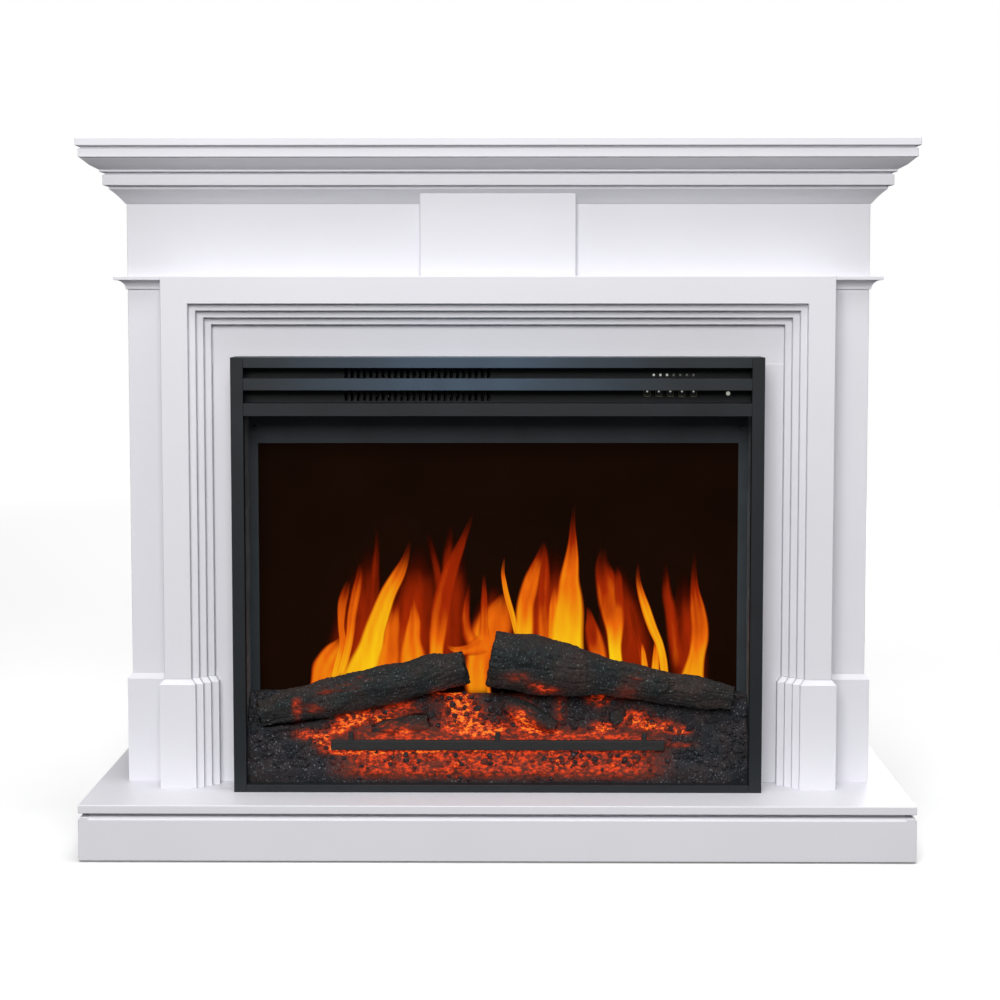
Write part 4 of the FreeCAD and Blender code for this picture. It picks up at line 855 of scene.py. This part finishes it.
# Flames from back to front: name, heat at foot, middle and tip, softness of the edges, whether
# the left and right edges are bright, and the spine as across, level and half width in millimetres
TONGUES = (
    ("haze_left", (0.4, 0.34, 0.08), 1, (0, 0), (
        (-186, 183, 41.8), (-178, 225, 36.8), (-168, 274, 30.7), (-160, 322, 22.0), (-155, 360, 9.8))),
    ("haze_middle_left", (0.45, 0.36, 0.08), 1, (0, 0), (
        (-110, 189, 54.1), (-107, 238, 49.1), (-102, 286, 36.8), (-97, 328, 24.5), (-92, 364, 9.8))),
    ("haze_twin", (0.4, 0.36, 0.1), 1, (0, 0), (
        (-56, 189, 27.0), (-56, 238, 24.5), (-56, 286, 22.0), (-55, 328, 20.8), (-52, 370, 11.0))),
    ("haze_wave", (0.5, 0.42, 0.2), 1, (0, 0), (
        (-10, 189, 29.5), (-10, 226, 31.9), (-7, 256, 31.9), (-5, 283, 24.5), (-2, 310, 11.0))),
    ("haze_centre", (0.5, 0.4, 0.1), 1, (0, 0), (
        (66, 190, 56.5), (63, 238, 53.9), (63, 280, 46.5), (65, 322, 31.8), (70, 360, 12.2))),
    ("haze_right", (0.42, 0.36, 0.08), 1, (0, 0), (
        (163, 178, 44.2), (160, 220, 40.4), (155, 262, 34.3), (150, 303, 24.4), (145, 339, 9.8))),
    ("haze_far_right", (0.42, 0.34, 0.08), 1, (0, 0), (
        (234, 172, 29.4), (233, 214, 27.0), (231, 256, 22.0), (228, 298, 14.7), (225, 332, 6.1))),
    ("far_left_blade", (0.42, 0.34, 0.12), 0.9, (0, 0), (
        (-161, 225, 8.6), (-157, 262, 9.8), (-152, 298, 8.6), (-150, 334, 6.1), (-148, 360, 4.3),
        (-148, 382, 1.8))),
    ("right_dark", (0.45, 0.38, 0.12), 0.8, (0, 0), (
        (221, 207, 11.0), (217, 238, 11.0), (212, 272, 9.8), (207, 298, 7.9), (205, 320, 5.5),
        (205, 339, 2.4))),
    ("twin_left_tip", (0.35, 0.28, 0.08), 1, (0, 0), (
        (-66, 268, 9.8), (-69, 298, 9.8), (-74, 324, 7.3), (-80, 351, 6.1), (-86, 377, 3.7))),
    ("twin_mid_tip", (0.35, 0.3, 0.1), 1, (0, 0), (
        (-63, 283, 9.8), (-62, 310, 9.8), (-61, 340, 8.6), (-59, 364, 6.1), (-58, 387, 3.7))),
    ("dark_slip", (0.42, 0.36, 0.2), 0.7, (0, 0), (
        (177, 207, 3.7), (174, 231, 3.7), (169, 252, 3.7), (164, 272, 3.1), (161, 288, 1.8))),
    ("wave_back", (0.72, 0.6, 0.5), 0.45, (0, 1), (
        (-24, 175, 16.0), (-26, 197, 16.0), (-24, 221, 17.2), (-16, 243, 23.3), (-5, 262, 24.5),
        (2, 279, 18.4), (6, 293, 8.6), (7, 300, 2.4))),
    ("wave_spike", (0.55, 0.4, 0.3), 0.5, (0, 0), (
        (-17, 244, 8.6), (-17, 268, 6.1), (-17, 288, 4.9), (-17, 305, 3.7), (-17, 324, 1.8))),
    ("wave_left", (0.6, 0.45, 0.2), 0.7, (0, 0), (
        (-27, 232, 11.0), (-37, 250, 8.6), (-40, 269, 6.7), (-38, 291, 4.9), (-34, 312, 3.7))),
    ("left_lobe", (0.66, 0.64, 0.6), 0.3, (0, 1), (
        (-222, 177, 11.1), (-219, 191, 12.3), (-213, 208, 14.7), (-205, 223, 13.5), (-196, 235, 8.6),
        (-190, 245, 2.5))),
    ("left_strand", (0.88, 0.58, 0.4), 0.35, (1, 0), (
        (-201, 192, 4.9), (-195, 216, 4.9), (-190, 237, 4.9), (-192, 259, 4.3), (-191, 283, 6.1),
        (-187, 300, 6.1), (-182, 316, 2.4))),
    ("second_strand", (0.86, 0.6, 0.35), 0.4, (0, 1), (
        (-194, 196, 4.9), (-187, 221, 5.5), (-182, 245, 5.5), (-179, 271, 6.1), (-174, 298, 6.7),
        (-170, 319, 4.9), (-169, 337, 1.8))),
    ("main_left", (0.92, 0.84, 0.36), 0.25, (0, 1), (
        (-168, 189, 27.0), (-161, 211, 23.3), (-155, 233, 17.2), (-150, 254, 13.5), (-143, 276, 12.3),
        (-134, 300, 11.0), (-121, 324, 8.6), (-113, 343, 4.9), (-107, 366, 1.2))),
    ("main_left_back", (0.68, 0.62, 0.35), 0.5, (0, 0), (
        (-136, 199, 17.2), (-133, 223, 14.7), (-130, 250, 11.0), (-126, 274, 7.4), (-121, 295, 3.7))),
    ("triangle", (0.7, 0.6, 0.42), 0.35, (0, 0), (
        (-105, 201, 20.9), (-105, 223, 17.2), (-105, 244, 12.3), (-103, 264, 8.6), (-103, 283, 4.9),
        (-103, 300, 1.8))),
    ("twin_blade", (0.74, 0.42, 0.25), 0.35, (0, 0), (
        (-76, 211, 9.8), (-75, 232, 9.8), (-73, 254, 12.3), (-69, 280, 13.5), (-64, 305, 12.2),
        (-57, 331, 9.8), (-47, 355, 6.7), (-38, 377, 4.3), (-30, 398, 1.8))),
    ("wave_tail", (0.62, 0.62, 0.6), 0.5, (0, 0), (
        (-17, 238, 14.7), (-29, 232, 11.0), (-41, 229, 7.4), (-54, 230, 4.3), (-63, 235, 1.2))),
    ("mid_thin", (0.8, 0.75, 0.45), 0.3, (0, 0), (
        (23, 250, 3.7), (18, 271, 3.7), (12, 291, 3.7), (8, 310, 3.2), (6, 326, 2.4), (8, 344, 1.2))),
    ("mid_blade", (0.86, 0.6, 0.28), 0.35, (0, 0), (
        (30, 238, 13.5), (32, 259, 12.3), (34, 284, 12.2), (39, 305, 12.2), (46, 327, 9.8),
        (52, 346, 6.1), (56, 363, 2.4))),
    ("mid_red", (0.6, 0.42, 0.28), 0.5, (0, 0), (
        (58, 226, 12.3), (57, 250, 9.8), (56, 276, 9.8), (56, 303, 9.8), (57, 327, 7.3), (57, 348, 4.9),
        (56, 363, 1.8))),
    ("mid_bump", (0.85, 0.65, 0.5), 0.35, (1, 0), (
        (70, 223, 11.0), (70, 247, 9.8), (69, 272, 8.0), (69, 292, 5.5), (70, 310, 1.8))),
    ("tall", (0.92, 0.64, 0.28), 0.28, (0, 1), (
        (83, 216, 23.3), (84, 240, 22.1), (85, 267, 20.8), (86, 291, 17.1), (87, 315, 13.4),
        (90, 339, 9.8), (91, 363, 6.1), (91, 384, 3.7), (93, 409, 1.2))),
    ("tall_side", (0.6, 0.4, 0.3), 0.45, (0, 0), (
        (124, 216, 11.0), (120, 235, 12.3), (115, 255, 9.8), (112, 272, 4.9), (109, 284, 1.8))),
    ("wide_red", (0.99, 0.5, 0.2), 0.3, (1, 0), (
        (145, 211, 8.6), (143, 232, 8.6), (143, 252, 11.0), (141, 274, 15.9), (137, 296, 17.1),
        (132, 317, 14.7), (128, 336, 9.8), (129, 357, 3.7))),
    ("wide_red_tip", (0.4, 0.32, 0.12), 0.8, (0, 0), (
        (149, 280, 9.8), (148, 300, 8.6), (147, 320, 6.1), (145, 334, 2.4))),
    ("small_left", (0.8, 0.65, 0.4), 0.4, (0, 0), (
        (180, 199, 4.9), (179, 216, 4.3), (177, 231, 2.5), (176, 240, 1.0))),
    ("small_right", (0.8, 0.65, 0.4), 0.4, (0, 0), (
        (192, 197, 6.1), (193, 216, 4.9), (193, 233, 3.1), (192, 244, 1.0))),
    ("ess", (0.84, 0.8, 0.42), 0.3, (0, 0), (
        (204, 195, 5.5), (202, 216, 5.5), (197, 238, 5.5), (189, 257, 6.1), (181, 279, 6.1),
        (175, 298, 4.9), (171, 317, 3.4), (171, 339, 1.2))),
    ("right_main", (0.84, 0.56, 0.2), 0.35, (0, 1), (
        (236, 185, 18.4), (239, 202, 14.7), (243, 224, 11.0), (246, 244, 11.6), (246, 262, 11.6),
        (243, 284, 9.8), (240, 305, 6.1), (239, 327, 3.7), (240, 352, 1.2))),
)

# Relief of the bark in millimetres: its lumps, grooves, cracks and crumbs, and how much of it each
# smaller log has
BARK_LUMPS, BARK_GROOVES, BARK_CRACKS, BARK_CRUMBS = 4.2, 1.7, 1.1, 0.7
BARK_SHARE = {"log_branch": 0.55, "log_low": 0.6, "stump": 0.3}
# Relief of the ember bed in millimetres, and how hot each kind of loose coal is
BED_LUMPS, BED_GRIT, BED_CRUMBS = 2.2, 1.6, 0.4
COAL_HEATS = (0.15, 0.45, 0.8, 1.15)
# Knots on the right log, in millimetres: across, level, radius and height
KNOTS = ((196, 196, 9, 3), (30, 232, 10, 3), (-6, 214, 9, 2))
# The end of a half buried log, in millimetres: across, level, radius and length shown
STUMP = (143, 153, 10, 16)


def fire_heat(place):
    """How hot the fire is at a place, from 0 to 1."""
    across, level = place.x / MM, place.z / MM
    total = 0
    for middle, height, width, rise, strength in HOT_SPOTS:
        total += strength * math.exp(
            -((across - middle) / width) ** 2 - ((level - height) / rise) ** 2)
    return min(total, 1)


def bed_heat(place):
    """How hot the ember bed is at a place: the hot spots over a steady glow in the middle."""
    across, level = abs(place.x / MM - 4), place.z / MM
    band = eases(74, 92, level) * eases(150, 128, level)
    return max(fire_heat(place), 0.62 * band * eases(228, 150, across))


def note_heat(piece, heats):
    """Store a heat for each point of a piece."""
    piece.data.attributes.new("hotness", "FLOAT", "POINT").data.foreach_set("value", heats)


class FIREPLACE_OT_logs(bpy.types.Operator):
    """Model the burnt logs with grooved and cracked bark"""
    bl_idname = "fireplace.logs"
    bl_label = "Logs"

    def execute(self, context):
        fire = context.scene.fireplace_fire
        finish = burning("burnt_wood", fire.char, fire.bark, (0.13, 0.15, 0.15), 0.045, 0.0042)
        for count, node in enumerate(("log_left", "log_right", "log_branch", "log_low")):
            relief = self.bark(frame["nodes"][node], node, count * 7.3)
            log = kneaded(traced(node, f"burnt_{node}"), fire.grain, relief)
            note_heat(log, [fire_heat(vertex.co) * self.facing(vertex) for vertex in
                            log.data.vertices])
            dressed(log, finish, stands_for=[node])
        stump = self.stump()
        kneaded(stump, fire.grain, self.bark(stump, "stump", 5.1))
        note_heat(stump, [0.6 * fire_heat(vertex.co) * self.facing(vertex)
                          * eases(0.008, 0.011, self.out_of(vertex.co))
                          for vertex in stump.data.vertices])
        dressed(stump, finish)
        return {"FINISHED"}

    @staticmethod
    def out_of(place):
        """How far a place is from the middle of the stump's cut end."""
        return math.hypot(place.x - STUMP[0] * MM, place.z - STUMP[1] * MM)

    @staticmethod
    def stump():
        """The cut end of a log that is half buried in the embers."""
        across, level, radius, length = (size * MM for size in STUMP)
        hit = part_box("ember_bed")[0].y + 0.024
        bpy.ops.object.select_all(action="DESELECT")
        bpy.ops.mesh.primitive_cylinder_add(
            vertices=32, radius=radius, depth=length, location=(across, hit, level),
            rotation=(math.radians(80), 0, math.radians(14)))
        piece = settle(bpy.context.active_object, "burnt_stump")
        with editing(piece):
            bpy.ops.mesh.bevel(offset=radius / 6, segments=2, affect="EDGES")
        return piece

    @staticmethod
    def facing(vertex):
        """Only the front of a log glows."""
        return eases(0.35, -0.15, vertex.normal.y) * eases(0.75, 0.1, vertex.normal.z)

    @staticmethod
    def bark(piece, node, seed):
        """The relief of one log: lumps, grooves along it, cracked blocks, crumbs and knots."""
        points = np.array([vertex.co for vertex in piece.data.vertices])
        middle = Vector(points.mean(axis=0))
        along = Vector(np.linalg.svd(points - points.mean(axis=0), full_matrices=False)[2][0])
        across = Vector((0, 1, 0)) if abs(along.x) > 0.7 else Vector((1, 0, 0))
        up = across.cross(along)
        size = BARK_SHARE.get(node, 1)
        knots = KNOTS if node == "log_right" else ()

        def relief(place, direction):
            offset = place - middle
            angle = math.atan2(offset.dot(up), offset.dot(across))
            spot = Vector((offset.dot(along) * 21 + seed, math.cos(angle), math.sin(angle)))
            lumps = noise.noise(spot * 1.3) * BARK_LUMPS
            grooves = eases(0.13, 0.0, abs(noise.noise(
                Vector((spot.x * 0.9, spot.y * 4, spot.z * 4))))) * -BARK_GROOVES
            near = noise.voronoi(Vector((spot.x * 3.4, spot.y * 3.2, spot.z * 3.2)))[0]
            cracks = eases(0.16, 0.0, near[1] - near[0]) * -BARK_CRACKS
            crumbs = noise.fractal(place * 240, 0.7, 2.0, 4) * BARK_CRUMBS
            burls = 0
            for middle_x, level, radius, height in knots:
                far = math.hypot(place.x / MM - middle_x, place.z / MM - level) / radius
                ring = eases(1.25, 0.95, far) * (1 - 0.75 * eases(0.75, 0.45, far))
                burls += height * ring * eases(0.2, -0.4, direction.y)
            return (size * (lumps + grooves + cracks + crumbs) + burls - 0.8) * MM

        return relief


class FIREPLACE_OT_embers(bpy.types.Operator):
    """Model the ember bed and strew it with loose coals"""
    bl_idname = "fireplace.embers"
    bl_label = "Embers"

    def execute(self, context):
        fire = context.scene.fireplace_fire
        finish = burning("embers", (0.009, 0.0115, 0.015), (0.024, 0.018, 0.019),
                         (0.17, 0.18, 0.20), 0.022, 0.0038)

        def relief(place, direction):
            lumps = noise.noise(place * 55) * BED_LUMPS
            grit = noise.voronoi(place * 150)[0][0] * -BED_GRIT
            crumbs = noise.fractal(place * 300, 0.7, 2.0, 3) * BED_CRUMBS
            return (lumps + grit + crumbs) * MM

        bed = kneaded(traced("ember_bed", "ember_heap"), 0.0028, relief)
        note_heat(bed, [bed_heat(vertex.co) for vertex in bed.data.vertices])
        dressed(bed, finish, stands_for=["ember_bed"])
        coals = self.strewn(fire, bed)
        dressed(coals, finish)
        return {"FINISHED"}

    @staticmethod
    def lumps(rng, count):
        """A few differently chipped coals about the origin, each 1 metre in radius."""
        shapes = []
        for _ in range(count):
            bpy.ops.object.select_all(action="DESELECT")
            bpy.ops.mesh.primitive_ico_sphere_add(subdivisions=2, radius=1)
            coal = bpy.context.active_object
            for vertex in coal.data.vertices:
                shift = Vector((rng.random() * 0.3, len(shapes) * 9, 0))
                vertex.co *= 1 + 0.45 * noise.noise(vertex.co * 1.1 + shift)
            work(coal, "DECIMATE", ratio=0.5)
            shapes.append(coal)
        return shapes

    def strewn(self, fire, bed):
        """Coals laid over the front of the bed, clear of the grate bar, as one piece."""
        rng = random.Random(41)
        shapes = self.lumps(rng, 6)
        low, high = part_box("ember_bed")
        bar_low, bar_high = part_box("grate_bar")
        verts, faces, heats = [], [], []
        for _ in range(fire.coals):
            size = fire.coal * rng.uniform(0.55, 1.35)
            x = rng.uniform(low.x + size, high.x - size)
            z = rng.uniform(low.z, high.z)
            hit, spot, normal, _ = bed.ray_cast(Vector((x, low.y - 0.05, z)), Vector((0, 1, 0)))
            if not hit:
                continue
            spot += normal * size * 0.25
            near_bar = bar_low.z - size < spot.z < bar_high.z + size
            if near_bar and spot.y - size < bar_high.y and abs(spot.x) < bar_high.x + size:
                continue
            if spot.y - size < low.y - 0.002:
                continue
            shape = rng.choice(shapes).data
            turn = (Matrix.Rotation(rng.uniform(0, math.tau), 3, "X")
                    @ Matrix.Rotation(rng.uniform(0, math.tau), 3, "Z"))
            squash = Vector((rng.uniform(0.7, 1.2), rng.uniform(0.7, 1.1), rng.uniform(0.6, 1)))
            first = len(verts)
            verts += [spot + turn @ (vertex.co * squash) * size for vertex in shape.vertices]
            faces += [[first + index for index in face.vertices] for face in shape.polygons]
            heat = bed_heat(spot) * rng.choice(COAL_HEATS)
            heats += [heat] * len(shape.vertices)
        for shape in shapes:
            bpy.data.objects.remove(shape)
        mesh = bpy.data.meshes.new("loose_coals")
        mesh.from_pydata(verts, [], faces)
        coals = bpy.data.objects.new("loose_coals", mesh)
        bpy.context.scene.collection.objects.link(coals)
        note_heat(coals, heats)
        return coals


class FIREPLACE_OT_grate(bpy.types.Operator):
    """Model the grate bar in rough cast iron"""
    bl_idname = "fireplace.grate"
    bl_label = "Grate"

    def execute(self, context):
        def relief(place, direction):
            return (noise.noise(place * 45) * 0.5 + noise.fractal(place * 330, 0.8, 2, 3) * 0.25) * MM

        bar = kneaded(traced("grate_bar", "cast_grate_bar"), 0.0011, relief)
        dressed(bar, moulded("cast_iron", (0.0075, 0.0075, 0.008), 0.75, 0.0013),
                stands_for=["grate_bar"])
        return {"FINISHED"}


# In millimetres: the gap from the screen to the first flame and from flame to flame, and how far
# the middle of a flame stands out and how thick it is
FIRST_GAP, NEXT_GAP, CROWN, THICKNESS = 0.3, 0.085, 0.12, 0.06
# Where the bright rims lie across a flame, from -1 to 1, and how wide they are
RIM, RIM_WIDTH = 0.8, 0.13


class FIREPLACE_OT_flames(bpy.types.Operator):
    """Model the flames as thin tongues in front of the screen"""
    bl_idname = "fireplace.flames"
    bl_label = "Flames"

    def execute(self, context):
        fire = context.scene.fireplace_fire
        coated(smoked_screen(fire), "flame_screen")
        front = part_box("flame_screen")[0].y
        tongues = []
        for count, tongue in enumerate(TONGUES):
            layer = front - (FIRST_GAP + NEXT_GAP * count) * MM
            tongues.append(self.tongue(layer, count, *tongue))
        dressed(whole("flames", tongues), flame_glow(fire))
        return {"FINISHED"}

    @staticmethod
    def along(spine, share):
        """Across, level and half width at a share of the way up a spine, on a smooth curve."""
        spot = share * (len(spine) - 1)
        index = min(int(spot), len(spine) - 2)
        step = spot - index
        before, start, end, after = (
            Vector(spine[min(max(index + shift, 0), len(spine) - 1)]) for shift in (-1, 0, 1, 2))
        return 0.5 * (
            2 * start + (end - before) * step
            + (2 * before - 5 * start + 4 * end - after) * step ** 2
            + (3 * start - before - 3 * end + after) * step ** 3)

    def tongue(self, layer, seed, name, heats, blur, rims, spine):
        """One tongue: a crowned strip bent along its spine, with heat and clearness on its points."""
        bpy.ops.object.select_all(action="DESELECT")
        bpy.ops.mesh.primitive_grid_add(x_subdivisions=18, y_subdivisions=44, size=1)
        piece = bpy.context.active_object
        piece.name = f"flame_{name}"
        blaze = []
        for vertex in piece.data.vertices:
            side, share = vertex.co.x * 2, vertex.co.y + 0.5
            x, z, width = self.along(spine, share)
            ahead = self.along(spine, min(share + 0.01, 1)) - self.along(spine, share - 0.01)
            rise = Vector((ahead.x, ahead.y)).normalized()
            ragged = 1 + 0.14 * noise.noise(Vector((share * 4, seed, math.copysign(3, side))))
            reach = side * max(width, 0.3) * ragged
            vertex.co = Vector((
                (x + rise.y * reach) * MM, layer - CROWN * (1 - side * side) * MM,
                (z - rise.x * reach) * MM))
            foot, middle, tip = heats
            heat = (mixed(foot, middle, eases(0, 0.5, share)) if share < 0.5
                    else mixed(middle, tip, eases(0.5, 1, share)))
            heat += 0.10 * noise.noise(Vector((side * 1.9, share * 1.6, seed * 5)))
            rim = rims[0] * math.exp(-((side + RIM) / RIM_WIDTH) ** 2)
            rim += rims[1] * math.exp(-((side - RIM) / RIM_WIDTH) ** 2)
            edge = 1 - eases(0.9 - blur * 0.85, 1.0, abs(side))
            heat = heat * mixed(0.72, 1, edge) + 0.15 * rim * (1 - share * 0.6)
            clear = edge * (1 - eases(0.62 - 0.2 * blur, 1.0, share))
            clear *= eases(-0.02, 0.03 + 0.35 * blur ** 2, share)
            blaze.append((min(max(heat, 0), 1), max(clear, rim * 0.8 * (1 - share)) * (
                1 - eases(0.9, 1, abs(side))), 0, 1))
        store = piece.data.color_attributes.new("blaze", "FLOAT_COLOR", "POINT")
        store.data.foreach_set("color", [part for point in blaze for part in point])
        work(piece, "SOLIDIFY", thickness=THICKNESS * MM, offset=-1)
        return smooth(piece, 60)


# ---------------------------------------------------------------- casing and works

class FIREPLACE_OT_works(bpy.types.Operator):
    """Finish the casing, the blower, the heater and the flicker drive"""
    bl_idname = "fireplace.works"
    bl_label = "Works"

    def execute(self, context):
        steel = context.scene.fireplace_steel
        zinc = bpy.data.materials.get("galvanised_steel")
        for node in ("casing_back", "casing_sides", "casing_decks"):
            refinished(node, "folded", steel.edge, zinc)
        coated(zinc, "blower_ends", "rod_bearings", "blower_housing")
        coated(brushed("motor_steel", (0.42, 0.42, 0.43), 0.35, (0.05, 1, 1)), "motors")
        coated(brushed("reflector_foil", (0.86, 0.86, 0.88), 0.16, (0.05, 1, 1)), "flicker_rod")
        coated(moulded("blower_plastic", (0.018, 0.018, 0.02), 0.5), "blower_rotor")
        coated(circuit_board(), "control_board")
        coated(fired_ceramic(), "heating_element")
        coated(self.warm_lamp(), "ember_lamps")
        gland = eased("cable_inlet", "moulded_cable_inlet", 0.0008)
        dressed(gland, moulded("gland_plastic", (0.016, 0.016, 0.017), 0.5),
                stands_for=["cable_inlet"])
        return {"FINISHED"}

    @staticmethod
    def warm_lamp():
        """Strip of amber lamps under the ember bed."""
        finish = Finish("warm_lamp", (0.9, 0.4, 0.1), 0.3, Emission_Strength=0.8)
        dots = finish.ramp(finish.cells(0.008), (0.3, (1.0, 0.5, 0.12)), (0.5, (0.5, 0.12, 0.02)))
        finish.fit(finish.shader, {"Base Color": dots, "Emission Color": dots})
        return finish.material


# ---------------------------------------------------------------- studio

# Soft lights, in metres: name, size, place and the point that it faces
LIGHTS = (
    ("front", 2.5, (-0.4, -4.6, 2.6), (0, 0, 0.4)),
    ("top", 2.4, (0.1, -0.7, 3.3), (0, -0.3, 0)),
    ("back", 2.5, (0.9, 4.6, 2.2), (0, 0, 0.4)),
)
FLOOR_RADIUS = 40
# How far from the middle the floor starts and ends turning white, and its own glow before that
FLOOR_FADE = (1.2, 5.0)
FLOOR_GLOW = 0.16


class FIREPLACE_OT_studio(bpy.types.Operator):
    """Lay the floor and set up the lights and the camera"""
    bl_idname = "fireplace.studio"
    bl_label = "Studio"

    def execute(self, context):
        studio = context.scene.fireplace_studio
        bpy.ops.object.select_all(action="DESELECT")
        bpy.ops.mesh.primitive_circle_add(
            vertices=96, radius=FLOOR_RADIUS, fill_type="NGON")
        floor = context.active_object
        floor.name = "studio_floor"
        floor.data.materials.append(self.pale_floor(studio))

        for name, size, place, target in LIGHTS:
            self.soft_light(f"{name}_light", getattr(studio, name), size, place, target)
        self.sky(context.scene, studio.sky)

        bpy.ops.object.camera_add(location=studio.stand, rotation=studio.aim)
        camera = context.active_object
        camera.data.lens = studio.lens
        camera.data.sensor_width = 36
        camera.data.clip_end = 100
        context.scene.camera = camera
        context.scene.view_settings.view_transform = "Standard"
        context.scene.cycles.transparent_max_bounces = 32
        return {"FINISHED"}

    @staticmethod
    def pale_floor(studio):
        """A pale floor that throws little light back up and turns white in the distance."""
        pale = Finish("pale_floor", studio.floor, 0.9, Specular_IOR_Level=0.0)
        away = pale.add("ShaderNodeVectorMath", {0: pale.place}, operation="LENGTH")
        far = pale.range(away.outputs["Value"], *FLOOR_FADE)
        seen = pale.add("ShaderNodeLightPath").outputs["Is Camera Ray"]
        near = pale.blend(seen, shaded(studio.floor, studio.bounce), studio.floor)
        lit = pale.range(far, 0, 1, FLOOR_GLOW, 1)
        pale.fit(pale.shader, {
            "Base Color": pale.blend(far, near, (0, 0, 0)), "Emission Color": (1, 1, 1),
            "Emission Strength": pale.count("MULTIPLY", seen, lit)})
        return pale.material

    @staticmethod
    def soft_light(name, power, size, place, target):
        bpy.ops.object.light_add(type="AREA", location=place)
        light = bpy.context.active_object
        light.name = name
        light.data.energy = power
        light.data.size = size
        light.visible_camera = False
        aim = Vector(target) - Vector(place)
        light.rotation_euler = aim.to_track_quat("-Z", "Y").to_euler()

    @staticmethod
    def sky(scene, strength):
        """White surroundings that light the object more gently than they show."""
        world = bpy.data.worlds.new("studio_sky")
        world.use_nodes = True
        scene.world = world
        tree = world.node_tree
        background = tree.nodes["Background"]
        background.inputs["Color"].default_value = (1, 1, 1, 1)
        seen = tree.nodes.new("ShaderNodeLightPath")
        level = tree.nodes.new("ShaderNodeMapRange")
        level.inputs["To Min"].default_value = strength
        level.inputs["To Max"].default_value = 1.0
        tree.links.new(seen.outputs["Is Camera Ray"], level.inputs["Value"])
        tree.links.new(level.outputs["Result"], background.inputs["Strength"])


# ---------------------------------------------------------------- sidebar and running

SETTINGS = {
    "fireplace_surround": SurroundSettings,
    "fireplace_steel": SteelSettings,
    "fireplace_fire": FireSettings,
    "fireplace_studio": StudioSettings,
}
STEPS = (
    FIREPLACE_OT_studio, FIREPLACE_OT_surround, FIREPLACE_OT_carcass, FIREPLACE_OT_trim,
    FIREPLACE_OT_screws, FIREPLACE_OT_controls, FIREPLACE_OT_logs, FIREPLACE_OT_embers,
    FIREPLACE_OT_grate, FIREPLACE_OT_flames, FIREPLACE_OT_works)


class FIREPLACE_PT_sidebar(bpy.types.Panel):
    """Settings and steps of the fireplace"""
    bl_idname = "FIREPLACE_PT_sidebar"
    bl_label = "Fireplace"
    bl_space_type = "VIEW_3D"
    bl_region_type = "UI"
    bl_category = "Fireplace"

    def draw(self, context):
        for name in SETTINGS:
            group = getattr(context.scene, name)
            box = self.layout.box()
            for key in group.__annotations__:
                box.prop(group, key)
        for step in STEPS:
            self.layout.operator(step.bl_idname)


def register():
    for kind in (*SETTINGS.values(), *STEPS, FIREPLACE_PT_sidebar):
        bpy.utils.register_class(kind)
    for name, kind in SETTINGS.items():
        setattr(bpy.types.Scene, name, bpy.props.PointerProperty(type=kind))


def unregister():
    for name in SETTINGS:
        delattr(bpy.types.Scene, name)
    for kind in (FIREPLACE_PT_sidebar, *reversed(STEPS), *SETTINGS.values()):
        bpy.utils.unregister_class(kind)


def main():
    register()
    for step in STEPS:
        getattr(bpy.ops.fireplace, step.bl_idname.split(".")[1])()


if __name__ == "__main__":
    main()
